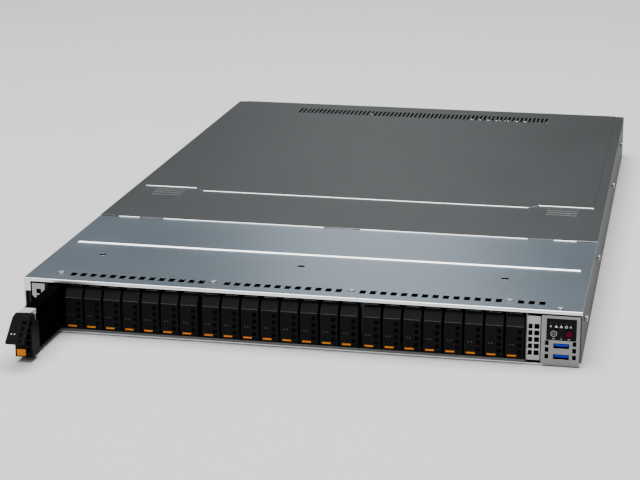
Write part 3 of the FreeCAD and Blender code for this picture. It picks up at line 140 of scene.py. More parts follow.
@dataclass
class Effects:
    """Shader node groups that the finishes share, each made once."""

    fine_detail: float = 3.0
    broad_scale: float = 14.0
    broad_detail: float = 2.0
    broad_share: float = 0.5
    noise_middle: float = 0.5
    patch_scale: float = 160.0

    def __post_init__(self) -> None:
        """Make the two groups."""
        self.grain = self._make_grain()
        self.wear = self._make_wear()

    @staticmethod
    def _new_group(name: str, inputs: list[tuple[str, Socket, object]],
                   outputs: list[tuple[str, Socket]]) -> tuple:
        """Start a shader group with named sockets.

        Args:
            name: Name of the group.
            inputs: Label, kind and default value of each input.
            outputs: Label and kind of each output.

        Returns:
            The tree with its input and output nodes.
        """
        tree = bpy.data.node_groups.new(name, "ShaderNodeTree")
        for label, kind, default in inputs:
            socket = tree.interface.new_socket(name=label, in_out="INPUT", socket_type=kind.value)
            socket.default_value = default
        for label, kind in outputs:
            tree.interface.new_socket(name=label, in_out="OUTPUT", socket_type=kind.value)
        return tree, tree.nodes.new("NodeGroupInput"), tree.nodes.new("NodeGroupOutput")

    @staticmethod
    def _combine(tree: bpy.types.NodeTree, operation: str, first: object,
                 second: object) -> bpy.types.NodeSocket:
        """Join two values with one math node.

        Args:
            tree: Tree that gets the node.
            operation: Operation of the math node.
            first: Socket or number.
            second: Socket or number.

        Returns:
            The node's value socket.
        """
        node = tree.nodes.new("ShaderNodeMath")
        node.operation = operation
        for index, term in enumerate((first, second)):
            if isinstance(term, bpy.types.NodeSocket):
                tree.links.new(term, node.inputs[index])
            else:
                node.inputs[index].default_value = term
        return node.outputs[0]

    @staticmethod
    def _add_noise(tree: bpy.types.NodeTree, place: bpy.types.NodeSocket,
                   values: dict[str, float]) -> bpy.types.Node:
        """Add a noise texture.

        Args:
            tree: Tree that gets the node.
            place: Coordinates that the noise reads.
            values: Values of its other inputs by label.

        Returns:
            The noise node.
        """
        noise = tree.nodes.new("ShaderNodeTexNoise")
        set_inputs(noise, values)
        tree.links.new(place, noise.inputs["Vector"])
        return noise

    def _make_grain(self) -> bpy.types.NodeTree:
        """Make the grain group: stretched fine grain in the colour, broad cloudiness in the roughness.

        Returns:
            The group's tree.
        """
        tree, start, end = self._new_group(
            "metal_and_plastic_grain",
            [("Colour", Socket.COLOUR, MID_GREY), ("Contrast", Socket.NUMBER, 0.1),
             ("Scale", Socket.NUMBER, 900.0), ("Stretch", Socket.VECTOR, (1.0, 1.0, 1.0)),
             ("Roughness", Socket.NUMBER, 0.4), ("Cloudiness", Socket.NUMBER, 0.1)],
            [("Colour", Socket.COLOUR), ("Roughness", Socket.NUMBER), ("Height", Socket.NUMBER)],
        )
        place = tree.nodes.new("ShaderNodeTexCoord").outputs["Object"]
        mapping = tree.nodes.new("ShaderNodeMapping")
        tree.links.new(place, mapping.inputs["Vector"])
        tree.links.new(start.outputs["Stretch"], mapping.inputs["Scale"])
        fine = self._add_noise(tree, mapping.outputs[0], {"Detail": self.fine_detail})
        tree.links.new(start.outputs["Scale"], fine.inputs["Scale"])
        broad = self._add_noise(tree, place, {"Scale": self.broad_scale, "Detail": self.broad_detail})
        centred = self._combine(tree, "SUBTRACT", fine.outputs[0], self.noise_middle)
        cloudy = self._combine(tree, "SUBTRACT", broad.outputs[0], self.noise_middle)
        share = self._combine(tree, "MULTIPLY", cloudy, self.broad_share)
        both = self._combine(tree, "ADD", centred, share)
        change = self._combine(tree, "MULTIPLY", both, start.outputs["Contrast"])
        tint = tree.nodes.new("ShaderNodeVectorMath")
        tint.operation = "SCALE"
        tree.links.new(start.outputs["Colour"], tint.inputs[0])
        tree.links.new(self._combine(tree, "ADD", change, 1.0), tint.inputs["Scale"])
        tree.links.new(tint.outputs[0], end.inputs["Colour"])
        spread = self._combine(tree, "MULTIPLY", cloudy, start.outputs["Cloudiness"])
        rough = self._combine(tree, "ADD", spread, start.outputs["Roughness"])
        tree.links.new(rough, end.inputs["Roughness"])
        tree.links.new(fine.outputs[0], end.inputs["Height"])
        return tree

    def _make_wear(self) -> bpy.types.NodeTree:
        """Make the wear group: rounded edges rubbed brighter in patches.

        Returns:
            The group's tree.
        """
        tree, start, end = self._new_group(
            "rubbed_edges",
            [("Colour", Socket.COLOUR, MID_GREY), ("Worn Colour", Socket.COLOUR, WHITE),
             ("Amount", Socket.NUMBER, 0.5)],
            [("Colour", Socket.COLOUR)],
        )
        edge = tree.nodes.new("ShaderNodeAttribute")
        edge.attribute_name = WEAR_LAYER
        place = tree.nodes.new("ShaderNodeTexCoord").outputs["Object"]
        patch = self._add_noise(tree, place, {"Scale": self.patch_scale})
        rubbed = self._combine(tree, "MULTIPLY", edge.outputs["Fac"], patch.outputs[0])
        mask = self._combine(tree, "MULTIPLY", rubbed, start.outputs["Amount"])
        mix = tree.nodes.new("ShaderNodeMix")
        mix.data_type = "RGBA"
        tree.links.new(mask, mix.inputs["Factor"])
        tree.links.new(start.outputs["Colour"], mix.inputs["A"])
        tree.links.new(start.outputs["Worn Colour"], mix.inputs["B"])
        tree.links.new(mix.outputs["Result"], end.inputs["Colour"])
        return tree


@dataclass(frozen=True)
class Finish:
    """One surface finish and the numbers of its material."""

    name: str
    colour: Triple
    metallic: float = 0.0
    roughness: float = 0.45
    cloudiness: float = 0.12
    contrast: float = 0.12
    scale: float = 1400.0
    grain: Grain = Grain.EVEN
    bump: float = 0.08
    wear: float = 0.5
    worn: Triple = (0.7, 0.7, 0.7)
    specular: float = 0.5
    edge_tint: float = 1.0
    glow: float = 0.0

    @staticmethod
    def _add_group(tree: bpy.types.NodeTree, group: bpy.types.NodeTree,
                   values: dict[str, object]) -> bpy.types.Node:
        """Place a shared group in a material.

        Args:
            tree: The material's tree.
            group: Tree of the group.
            values: Values of the group's inputs by label.

        Returns:
            The group's node.
        """
        node = tree.nodes.new("ShaderNodeGroup")
        node.node_tree = group
        set_inputs(node, values)
        return node

    def material(self, effects: Effects) -> bpy.types.Material:
        """Return this finish's material, made on first use.

        Args:
            effects: The shared node groups.

        Returns:
            The material.
        """
        title = f"{self.name}_finish"
        known = bpy.data.materials.get(title)
        if known:
            return known
        material = bpy.data.materials.new(title)
        material.use_nodes = True
        tree = material.node_tree
        shader = tree.nodes["Principled BSDF"]
        tint = self.edge_tint
        set_inputs(shader, {"Metallic": self.metallic, "Specular IOR Level": self.specular,
                            "Specular Tint": (tint, tint, tint, 1.0)})
        if self.glow:
            set_inputs(shader, {"Emission Color": (*self.colour, 1.0), "Emission Strength": self.glow})
        grain = self._add_group(tree, effects.grain, {
            "Colour": (*self.colour, 1.0), "Contrast": self.contrast, "Scale": self.scale,
            "Stretch": self.grain.value, "Roughness": self.roughness, "Cloudiness": self.cloudiness})
        wear = self._add_group(tree, effects.wear, {"Worn Colour": (*self.worn, 1.0), "Amount": self.wear})
        bump = tree.nodes.new("ShaderNodeBump")
        set_inputs(bump, {"Strength": self.bump, "Distance": BUMP_DEPTH})
        tree.links.new(grain.outputs["Colour"], wear.inputs["Colour"])
        tree.links.new(wear.outputs["Colour"], shader.inputs["Base Color"])
        tree.links.new(grain.outputs["Roughness"], shader.inputs["Roughness"])
        tree.links.new(grain.outputs["Height"], bump.inputs["Height"])
        tree.links.new(bump.outputs["Normal"], shader.inputs["Normal"])
        return material


@dataclass(frozen=True)
class Metal(Finish):
    """A bare or plated metal."""

    metallic: float = 1.0


CHASSIS_STEEL = Metal("chassis_steel", (0.125, 0.127, 0.13), roughness=0.42, grain=Grain.LENGTHWISE,
                      worn=(0.3, 0.3, 0.3), edge_tint=0.4)
# Painted highlight: a brighter copy of the tray steel for the front faces of the sill and the left edge.
TRAY_HIGHLIGHT_STEEL = Metal("tray_painted_highlight_steel", (0.82, 0.84, 0.85), roughness=0.40, grain=Grain.ACROSS)
PLATE_STEEL = Metal("plate_steel", (0.37, 0.385, 0.375), roughness=0.40)
# Also painted highlight: the thumb pads' rib faces that face the front get this lighter steel.
PANEL_STEEL_AND_RIB_HIGHLIGHT = Metal("panel_steel_and_painted_highlight", (0.255, 0.268, 0.262), roughness=0.42)
FRONT_STEEL = Metal("front_cover_steel", (0.50, 0.60, 0.70), roughness=0.34, cloudiness=0.05,
                    grain=Grain.ACROSS, worn=(0.8, 0.82, 0.85), edge_tint=0.7)
REAR_STEEL = Metal("rear_cover_steel", (0.142, 0.154, 0.158), roughness=0.50, cloudiness=0.05,
                   grain=Grain.ACROSS, worn=(0.75, 0.75, 0.75), edge_tint=0.8)
# Painted highlight: a brighter copy of the cover steel for lips, folds and seam steps that face the light.
PAINTED_HIGHLIGHT_STEEL = Metal("painted_highlight_steel", (0.86, 0.88, 0.90), roughness=0.30, contrast=0.06, grain=Grain.ACROSS)
BRIGHT_STEEL = Metal("bright_steel", (0.92, 0.93, 0.94), roughness=0.42, contrast=0.05)
CLIP_STEEL = Metal("clip_steel", (0.95, 0.92, 0.88), roughness=0.55, grain=Grain.ACROSS)
# Painted shade: a darkened copy of the clip steel for the seated carriers' brackets under the cover's lip.
CLIP_STEEL_SHADED = Metal("clip_steel_painted_shade", (0.05, 0.05, 0.05), roughness=0.34, grain=Grain.ACROSS,
                          worn=(0.9, 0.9, 0.9))
CONNECTOR_STEEL = Metal("connector_steel", (0.55, 0.55, 0.54), roughness=0.3)
SUPPLY_STEEL = Metal("supply_steel", (0.21, 0.215, 0.22), roughness=0.36, grain=Grain.LENGTHWISE)
FIN_ALUMINIUM = Metal("fin_aluminium", (0.72, 0.73, 0.75), roughness=0.34, grain=Grain.LENGTHWISE)
GOLD_CONTACT = Metal("gold_contact", (0.85, 0.60, 0.22), roughness=0.25, contrast=0.05)
MODULE_SHELL = Metal("module_shell", (0.012, 0.0122, 0.0126), roughness=0.42, wear=0.3,
                     worn=(0.05, 0.05, 0.05), edge_tint=0.05)
BLACK_PLASTIC = Finish("black_plastic", (0.006, 0.006, 0.0065), roughness=0.5, worn=(0.05, 0.05, 0.05),
                       specular=0.3)
CARRIER_PLASTIC = Finish("carrier_plastic", (0.009, 0.0092, 0.0096), roughness=0.42, bump=0.15, wear=0.3,
                         worn=(0.04, 0.042, 0.046), specular=0.012)
# Painted highlight: a lighter, glossier copy of the carrier plastic for its upward faces.
CARRIER_PLASTIC_LIT = Finish("carrier_plastic_painted_highlight", (0.015, 0.0153, 0.0158), roughness=0.42, bump=0.15, wear=0.3,
                       worn=(0.05, 0.052, 0.056), specular=0.03)
# Painted shade: a near-black for vent floors and walls, screw recesses, the ring under each screw head, the
# dimples and the port insides.
PAINTED_SHADE = Finish("painted_shade", (0.002, 0.002, 0.002), roughness=0.8, wear=0.0, specular=0.1)
LABEL_FILM = Finish("label_film", (0.0022, 0.0026, 0.003), roughness=0.34, contrast=0.06, wear=0.0,
                    specular=0.1)
PRINT_GREY = Finish("print_grey", (0.75, 0.77, 0.78), roughness=0.5, wear=0.0)
RELEASE_ORANGE = Finish("release_orange", (1.0, 0.26, 0.0), roughness=0.36, worn=(1.0, 0.45, 0.03),
                        specular=0.10)
TONGUE_BLUE = Finish("tongue_blue", (0.0, 0.034, 0.66), roughness=0.30, worn=(0.1, 0.3, 1.0), specular=0.12)
POWER_RED = Finish("power_red", (0.10, 0.001, 0.012), roughness=0.4, wear=0.1, worn=(0.2, 0.01, 0.03),
                   specular=0.04)
LATCH_RED = Finish("latch_red", (0.24, 0.02, 0.015), roughness=0.4, worn=(0.6, 0.15, 0.1))
RING_GREY = Finish("ring_grey", (0.55, 0.57, 0.58), roughness=0.4)
LIGHT_GREEN = Finish("light_green", (0.25, 0.55, 0.30), roughness=0.3, wear=0.0, glow=0.3)
# Also painted highlight: the ridge along each seated lever's bend gets this finish.
CLEAR_LENS_AND_HIGHLIGHT = Finish("clear_lens_and_painted_highlight", (0.03, 0.032, 0.034), roughness=0.3, wear=0.0, specular=0.3)
BOARD_GREEN = Finish("board_green", (0.006, 0.045, 0.024), roughness=0.38, contrast=0.5, scale=420.0,
                     wear=0.2)
# Also painted shade: the rear slot walls and the tray's right front edge get this black.
CHIP_BLACK_AND_SHADE = Finish("chip_black_and_painted_shade", (0.010, 0.010, 0.011), roughness=0.55)
STAGE_WHITE = Finish("stage_white", (0.93, 0.93, 0.93), roughness=0.75, contrast=0.01, bump=0.0, wear=0.0)


class Shape:
    """A mesh in the making, measured in millimetres and finished in metres."""

    def __init__(self) -> None:
        """Start empty, with no finish."""
        self.mesh = self._fresh()
        self.finishes: list[Finish] = []

    @staticmethod
    def _fresh() -> bmesh.types.BMesh:
        """Start a mesh with the layer that marks rounded edges.

        Returns:
            The empty mesh.
        """
        part = bmesh.new()
        part.faces.layers.float.new(WEAR_LAYER)
        return part

    @staticmethod
    def round_edges(part: bmesh.types.BMesh, rounding: float, segments: int) -> None:
        """Round a part's sharp edges and mark the new faces.

        Args:
            part: Mesh to round.
            rounding: Width of the rounding.
            segments: Steps of the rounding.
        """
        sharp = [e for e in part.edges if len(e.link_faces) == 2 and e.calc_face_angle(0.0) > ROUNDED_ANGLE]
        made = bmesh.ops.bevel(part, geom=sharp, offset=rounding, offset_type="OFFSET", segments=segments,
                               profile=0.5, affect="EDGES", clamp_overlap=True, material=-1,
                               loop_slide=True)
        layer = part.faces.layers.float.get(WEAR_LAYER)
        for face in made["faces"]:
            face[layer] = 1.0

    def index(self, finish: Finish) -> int:
        """Find a finish's place in the shape's list, and add it there on first use.

        Args:
            finish: The finish.

        Returns:
            Its index.
        """
        if finish not in self.finishes:
            self.finishes.append(finish)
        return self.finishes.index(finish)

    def give(self, faces: Iterable[bmesh.types.BMFace], finish: Finish) -> None:
        """Give some faces a finish.

        Args:
            faces: Faces of the shape, or of a part that joins it.
            finish: Their finish.
        """
        index = self.index(finish)
        for face in faces:
            face.material_index = index

    def _join(self, part: bmesh.types.BMesh, finish: Finish, rounding: float = 0.0) -> None:
        """Round a part and add it to the shape.

        Args:
            part: Mesh of the part, freed afterwards.
            finish: Its finish.
            rounding: Width of its rounded edges, 0 for sharp.
        """
        if rounding:
            self.round_edges(part, rounding, ROUNDING_STEPS)
        self.give(part.faces, finish)
        self._take(part)

    def _take(self, part: bmesh.types.BMesh) -> tuple[list[bmesh.types.BMVert], list[bmesh.types.BMFace]]:
        """Copy a part's mesh into the shape and free the part.

        Args:
            part: Mesh of the part.

        Returns:
            The new corners and faces.
        """
        passing = bpy.data.meshes.new("passing")
        part.to_mesh(passing)
        part.free()
        corners, faces = len(self.mesh.verts), len(self.mesh.faces)
        self.mesh.from_mesh(passing)
        bpy.data.meshes.remove(passing)
        self.mesh.verts.ensure_lookup_table()
        self.mesh.faces.ensure_lookup_table()
        return self.mesh.verts[corners:], self.mesh.faces[faces:]

    def box(self, low: Triple, high: Triple, finish: Finish, rounding: float = 0.0) -> None:
        """Add a block between two corners.

        Args:
            low: Lowest corner.
            high: Highest corner.
            finish: Its finish.
            rounding: Width of its rounded edges.
        """
        part = self._fresh()
        size = Vector(high) - Vector(low)
        middle = Matrix.Translation((Vector(high) + Vector(low)) / 2)
        bmesh.ops.create_cube(part, size=1.0, matrix=middle @ Matrix.Diagonal((*size, 1.0)))
        self._join(part, finish, rounding)

    def rod(self, start: Triple, end: Triple, radius: float, finish: Finish, sides: int = 24,
            rounding: float = 0.0) -> None:
        """Add a rod between two points, round or with few sides.

        Args:
            start: Middle of the first end.
            end: Middle of the second end.
            radius: Radius of the rod.
            finish: Its finish.
            sides: Number of sides.
            rounding: Width of its rounded rims.
        """
        part = self._fresh()
        run = Vector(end) - Vector(start)
        turn = run.to_track_quat("Z", "Y").to_matrix().to_4x4()
        middle = Matrix.Translation((Vector(start) + Vector(end)) / 2)
        bmesh.ops.create_cone(part, cap_ends=True, segments=sides, radius1=radius, radius2=radius,
                              depth=run.length, matrix=middle @ turn)
        self._join(part, finish, rounding)

    def ring(self, centre: Triple, axis: Triple, radius: float, bar: float, finish: Finish,
             sides: int = 36) -> None:
        """Add a ring of round bar, made by a full spin.

        Args:
            centre: Middle of the ring.
            axis: Direction that it turns about.
            radius: Radius to the middle of the bar.
            bar: Radius of the bar.
            finish: Its finish.
            sides: Steps round the ring.
        """
        part = self._fresh()
        along = Vector(axis).normalized()
        out = along.orthogonal().normalized()
        turn = along.cross(out).to_track_quat("Z", "Y").to_matrix().to_4x4()
        place = Matrix.Translation(Vector(centre) + out * radius)
        bmesh.ops.create_circle(part, cap_ends=False, segments=BAR_SIDES, radius=bar,
                                matrix=place @ turn)
        bmesh.ops.spin(part, geom=[*part.verts, *part.edges], cent=centre, axis=along, angle=math.tau,
                       steps=sides, use_merge=True)
        bmesh.ops.recalc_face_normals(part, faces=part.faces)
        self._join(part, finish)

    def prism(self, outline: Iterable[Pair], half: float, finish: Finish, rounding: float = 0.0) -> None:
        """Add a side outline drawn out to both sides of the middle.

        Args:
            outline: Back and up of each corner.
            half: Half of the width across.
            finish: Its finish.
            rounding: Width of its rounded edges.
        """
        part = self._fresh()
        face = part.faces.new([part.verts.new((-half, back, up)) for back, up in outline])
        drawn = bmesh.ops.extrude_face_region(part, geom=[face], use_keep_orig=True)
        moved = [item for item in drawn["geom"] if isinstance(item, bmesh.types.BMVert)]
        bmesh.ops.translate(part, vec=(2 * half, 0.0, 0.0), verts=moved)
        bmesh.ops.recalc_face_normals(part, faces=part.faces)
        self._join(part, finish, rounding)

    def copy_in(self, other: "Shape", move: Triple = (0.0, 0.0, 0.0), turn: Matrix | None = None) -> None:
        """Add a copy of another shape.

        Args:
            other: Shape to copy, left as it is.
            move: Shift of the copy.
            turn: Turn of the copy before the shift.
        """
        corners, faces = self._take(other.mesh.copy())
        indices = [self.index(finish) for finish in other.finishes]
        for face in faces:
            face.material_index = indices[face.material_index]
        if turn is not None:
            bmesh.ops.transform(self.mesh, matrix=turn, verts=corners)
        bmesh.ops.translate(self.mesh, vec=move, verts=corners)

    def cut(self, faces: Iterable[bmesh.types.BMFace], place: Triple, normal: Triple) -> None:
        """Cut some faces in two along a plane.

        Args:
            faces: Faces to cut.
            place: Point on the plane.
            normal: Normal of the plane.
        """
        touched = dict.fromkeys(item for face in faces for item in (face, *face.edges, *face.verts))
        bmesh.ops.bisect_plane(self.mesh, geom=list(touched), plane_co=place, plane_no=normal, dist=CUT_GAP)

    def pocket(self, facing: Facing, low: Triple, high: Triple, depth: float, finish: Finish) -> None:
        """Sink a rectangular pocket into the flat faces that face one way inside a region.

        Args:
            facing: Side that the pocket opens on.
            low: Lowest corner of the region.
            high: Highest corner of the region.
            depth: How deep it goes.
            finish: Finish of its floor.
        """
        out = Vector(facing.value)
        deep = next(axis for axis in range(3) if out[axis])
        for axis in range(3):
            if axis == deep:
                continue
            normal = Vector((0.0, 0.0, 0.0))
            normal[axis] = 1.0
            for place in (low[axis], high[axis]):
                point = Vector(low)
                point[axis] = place
                self.cut(self._facing(out, low, high, (deep,)), point, normal)
        floor = self._facing(out, low, high, range(3))
        if not floor:
            LOG.warning("no face for a pocket at %s", low)
            return
        bmesh.ops.inset_region(self.mesh, faces=floor, thickness=POCKET_WALL, depth=-depth,
                               use_even_offset=True)
        self.give(floor, finish)

    def _facing(self, out: Vector, low: Triple, high: Triple,
                axes: Iterable[int]) -> list[bmesh.types.BMFace]:
        """Find the faces that face one way and have their middle between two corners.

        Args:
            out: Direction that they face.
            low: Lowest corner.
            high: Highest corner.
            axes: Axes along which the corners count.

        Returns:
            The faces.
        """
        found = [face for face in self.mesh.faces if face.normal.dot(out) > NEARLY_FACING]
        for k in axes:
            found = [face for face in found
                     if low[k] - REGION_SLACK < face.calc_center_median()[k] < high[k] + REGION_SLACK]
        return found

    def paint(self, low: Triple, high: Triple, finish: Finish) -> None:
        """Give the faces whose middle lies between two corners another finish."""
        self.give([face for face in self.mesh.faces if within(face.calc_center_median(), low, high)], finish)

    def build(self, name: str, node: str, stands_in: bool = True) -> None:
        """Make the piece with its finishes and hang it on a node's body.

        Args:
            name: Name of the piece.
            node: Node of the frame that gives the body.
            stands_in: Whether the piece stands for the node.
        """
        bmesh.ops.scale(self.mesh, vec=(MM, MM, MM), verts=self.mesh.verts)
        data = bpy.data.meshes.new(name)
        self.mesh.to_mesh(data)
        self.mesh.free()
        piece = bpy.data.objects.new(name, data)
        bpy.context.scene.collection.objects.link(piece)
        for finish in self.finishes:
            data.materials.append(finish.material(Server.effects))
        for polygon in data.polygons:
            polygon.use_smooth = True
        data.set_sharp_from_angle(angle=SMOOTH_ANGLE)
        even = piece.modifiers.new("even_shading", "WEIGHTED_NORMAL")
        even.keep_sharp = True
        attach(piece, Server.body_of[node])
        if stands_in:
            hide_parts(node)
        LOG.info("%s: %d faces", name, len(data.polygons))


class Server:
    """What all sub-assemblies share: the frame's nodes, the body and slot of each, and the effects."""

    nodes: dict[str, bpy.types.Object] = {}
    effects: Effects | None = None
    body_of: dict[str, str] = {}
    slot_of: dict[str, str] = {}

    @classmethod
    def open(cls, frame: dict) -> None:
        """Read the nodes, bodies and slots out of the frame.

        Args:
            frame: The loaded frame.
        """
        cls.nodes = frame["nodes"]
        cls.effects = Effects()
        record = frame["record"]
        cls.body_of = {node: body for body, nodes in record["behaviour"]["bodies"].items() for node in nodes}
        cls.slot_of = {part["node"]: part["material_slot"] for part in record["subparts"]}

    @classmethod
    def recolour(cls, node: str, finish: Finish) -> None:
        """Give a node of the frame a finish, its shape kept.

        Args:
            node: Name of the node.
            finish: Its finish.
        """
        for slot in cls.nodes[node].material_slots:
            slot.material = finish.material(cls.effects)
        LOG.info("%s: recoloured", node)

    @classmethod
    def dress(cls, node: str, finishes: list[Finish], rounding: float,
              segments: int = ROUNDING_STEPS, detail: Callable[[Shape], None] | None = None) -> None:
        """Make a copy of a node with joined faces and rounded edges, standing for the node.

        Args:
            node: Name of the node.
            finishes: Its finishes, the first for all its faces until the detail gives some another.
            rounding: Width of the rounded edges in millimetres.
            segments: Steps of the rounding.
            detail: Further work on the shape, in millimetres, before it is rounded.
        """
        shape = Shape()
        part = shape.mesh
        part.from_mesh(cls.nodes[node].data)
        if part.faces.layers.float.get(WEAR_LAYER) is None:
            part.faces.layers.float.new(WEAR_LAYER)
        bmesh.ops.remove_doubles(part, verts=part.verts, dist=MERGE_GAP)
        bmesh.ops.dissolve_limit(part, angle_limit=FLAT_ANGLE, use_dissolve_boundaries=False,
                                 verts=part.verts, edges=part.edges)
        bmesh.ops.scale(part, vec=(1 / MM, 1 / MM, 1 / MM), verts=part.verts)
        shape.finishes = finishes
        shape.give(part.faces, finishes[0])
        if detail:
            part.normal_update()
            detail(shape)
        if rounding:
            shape.round_edges(part, rounding, segments)
        shape.build(f"{node}_dressed", node)


@dataclass
class DriveModule:
    """One short drive: ribbed shell and gilt card edge."""

    half: float = 4.75
    front: float = 14.7
    end: float = 129.3
    foot: float = 4.2
    top: float = 37.95
    rounding: float = 0.45
    ribs: int = 6
    rib_first: float = 4.0
    rib_pitch: float = 5.0
    rib_inset: float = 8.0
    rib_height: float = 0.15
    rib_width: float = 1.2
    rib_rounding: float = 0.1
    card_half: float = 0.78
    card_inset: float = 3.9
    card_long: float = 4.1
    contacts: int = 20
    contact_first: float = 5.0
    contact_pitch: float = 1.2
    contact_run: Pair = (0.6, 4.0)
    contact_width: float = 0.7
    contact_sheet: float = 0.02

    def add_to(self, shape: Shape, shift: float = 0.0) -> None:
        """Add the drive to a shape.

        Args:
            shape: Shape that gets the drive.
            shift: How far the drive stands forward of its seat.
        """
        front, end = self.front - shift, self.end - shift
        shape.box((-self.half, front, self.foot), (self.half, end, self.top), MODULE_SHELL, self.rounding)
        for side in (-self.half, self.half):
            for row in range(self.ribs):
                up = self.foot + self.rib_first + row * self.rib_pitch
                shape.box((side - self.rib_height, front + self.rib_inset, up),
                          (side + self.rib_height, end - self.rib_inset, up + self.rib_width),
                          MODULE_SHELL, self.rib_rounding)
        shape.box((-self.card_half, end, self.foot + self.card_inset),
                  (self.card_half, end + self.card_long, self.top - self.card_inset), BOARD_GREEN)
        start, stop = self.contact_run
        for row in range(self.contacts):
            up = self.foot + self.contact_first + row * self.contact_pitch
            for side in (-self.card_half - self.contact_sheet, self.card_half):
                shape.box((side, end + start, up),
                          (side + self.contact_sheet, end + stop, up + self.contact_width), GOLD_CONTACT)


@dataclass
class CarrierFront:
    """One carrier's front: bezel, shut lever with its knuckle, vents, lights, tab and bracket."""

    module: DriveModule
    lever_half: float = 6.8
    lever_front: float = -2.7
    lever_back: float = -0.7
    lever_tip: float = 7.0
    lever_bend: float = 29.6
    lever_chamfer: Pair = (0.5, 0.6)
    lever_heel: float = 1.0
    lever_rounding: float = 0.35
    hinge: Pair = (4.0, 33.3)
    knuckle: float = 3.9
    knuckle_steps: int = 8
    knuckle_end: float = -0.9
    bezel_half: float = 6.9
    bezel_front: float = -0.4
    bezel_foot: float = 3.4
    bezel_top: float = 29.0
    bezel_rounding: float = 0.5
    neck_step: float = 6.0
    neck_top: float = 36.4
    tab: Box = ((-5.6, -1.2, 5.3), (1.3, 2.0, 9.9))
    tab_rounding: float = 0.35
    bracket_top: float = 38.0
    bracket_front: float = 4.0
    bracket_sheet: float = 0.5
    bracket_rounding: float = 0.12
    flank_front: float = 9.0
    flank_tall: float = 5.0
    flank_rounding: float = 0.1
    vents: int = 4
    vent_across: float = 3.7
    vent_low: float = 9.6
    vent_pitch: float = 5.3
    vent_half: Pair = (1.6, 1.65)
    vent_depth: float = 1.6
    lights: Pair = (-3.85, -1.35)
    light_up: float = 15.4
    light_radius: float = 0.62
    light_rounding: float = 0.1
    light_stand: float = 0.12
    light_sink: float = 1.0
    highlight_ridge_radius: float = 0.28
    highlight_ridge_inset: float = 0.4
    small_sides: int = 12

    def _knuckle_point(self, angle: float) -> Pair:
        """Return the back and up of the place at an angle on the knuckle."""
        back, up = self.hinge
        return back + self.knuckle * math.cos(angle), up + self.knuckle * math.sin(angle)

    def _lever_outline(self) -> list[Pair]:
        """Work out the shut lever's side outline, whose slope meets the round knuckle as a tangent.

        Returns:
            Back and up of each corner.
        """
        run, rise = self.hinge[0] - self.lever_front, self.hinge[1] - self.lever_bend
        start = math.pi / 2 + math.atan2(rise, run) + math.asin(self.knuckle / math.hypot(run, rise))
        steps = self.knuckle_steps
        arc = [self._knuckle_point(start - step * start / steps) for step in range(steps + 1)]
        cut_back, cut_up = self.lever_chamfer
        return [(self.lever_back, self.lever_tip), (self.lever_front + cut_back, self.lever_tip),
                (self.lever_front, self.lever_tip + cut_up), (self.lever_front, self.lever_bend), *arc,
                self._knuckle_point(self.knuckle_end), (self.lever_back, self.lever_bend - self.lever_heel)]

    def add_light(self, shape: Shape, start: Triple, end: Triple, finish: Finish) -> None:
        """Add one small round light between two points."""
        shape.rod(start, end, self.light_radius, finish, self.small_sides, self.light_rounding)

    def _add_vents(self, shape: Shape) -> None:
        """Sink the row of vents into the lever's face, with painted shade on their floors.

        Args:
            shape: Shape that holds the lever alone.
        """
        wide, tall = self.vent_half
        for row in range(self.vents):
            middle = self.vent_low + row * self.vent_pitch
            shape.pocket(Facing.FRONT,
                         (self.vent_across - wide, self.lever_front - FACE_REACH, middle - tall),
                         (self.vent_across + wide, self.lever_front + FACE_REACH, middle + tall),
                         self.vent_depth, PAINTED_SHADE)

    def _add_marks(self, shape: Shape) -> None:
        """Add the two lights, and a lighter, glossier ridge along the lever's bend that stands in for its
        highlight.

        Args:
            shape: Shape that gets them.
        """
        face, up = self.lever_front, self.light_up
        for across in self.lights:
            self.add_light(shape, (across, face - self.light_stand, up), (across, face + self.light_sink, up),
                           CLEAR_LENS_AND_HIGHLIGHT)
        # Painted highlight: a thin rod of the lighter clear finish along the bend.
        half, back = self.lever_half - self.highlight_ridge_inset, face + FACE_REACH
        shape.rod((-half, back, self.lever_bend), (half, back, self.lever_bend), self.highlight_ridge_radius,
                  CLEAR_LENS_AND_HIGHLIGHT, self.small_sides)

    def _add_bracket(self, shape: Shape) -> None:
        """Add the folded bracket over the bezel, with its one flank, in the darkened clip steel that paints
        the shade under the lip.

        Args:
            shape: Shape that gets it.
        """
        half, top, sheet = self.module.half, self.bracket_top, self.bracket_sheet
        shape.box((-half, self.bracket_front, top - sheet), (half, self.module.front, top),
                  CLIP_STEEL_SHADED, self.bracket_rounding)
        shape.box((half, self.flank_front, top - self.flank_tall), (half + sheet, self.module.front, top),
                  CLIP_STEEL_SHADED, self.flank_rounding)

    def make(self) -> Shape:
        """Make the front, with a painted highlight on the plastic's upward faces, such as the lever's slope.

        Returns:
            The front at the middle of its bay.
        """
        shape = Shape()
        shape.prism(self._lever_outline(), self.lever_half, CARRIER_PLASTIC, self.lever_rounding)
        self._add_vents(shape)
        shape.box((-self.bezel_half, self.bezel_front, self.bezel_foot),
                  (self.bezel_half, self.module.front, self.bezel_top), CARRIER_PLASTIC, self.bezel_rounding)
        shape.box((-self.module.half, self.bezel_front + self.neck_step, self.bezel_top),
                  (self.module.half, self.module.front, self.neck_top), CARRIER_PLASTIC)
        self._add_marks(shape)
        shape.box(*self.tab, RELEASE_ORANGE, self.tab_rounding)
        self._add_bracket(shape)
        # Painted highlight: upward plastic faces get the lighter copy.
        plastic = shape.index(CARRIER_PLASTIC)
        shape.give([face for face in shape.mesh.faces
                    if face.material_index == plastic and face.normal.z > LEANING], CARRIER_PLASTIC_LIT)
        return shape


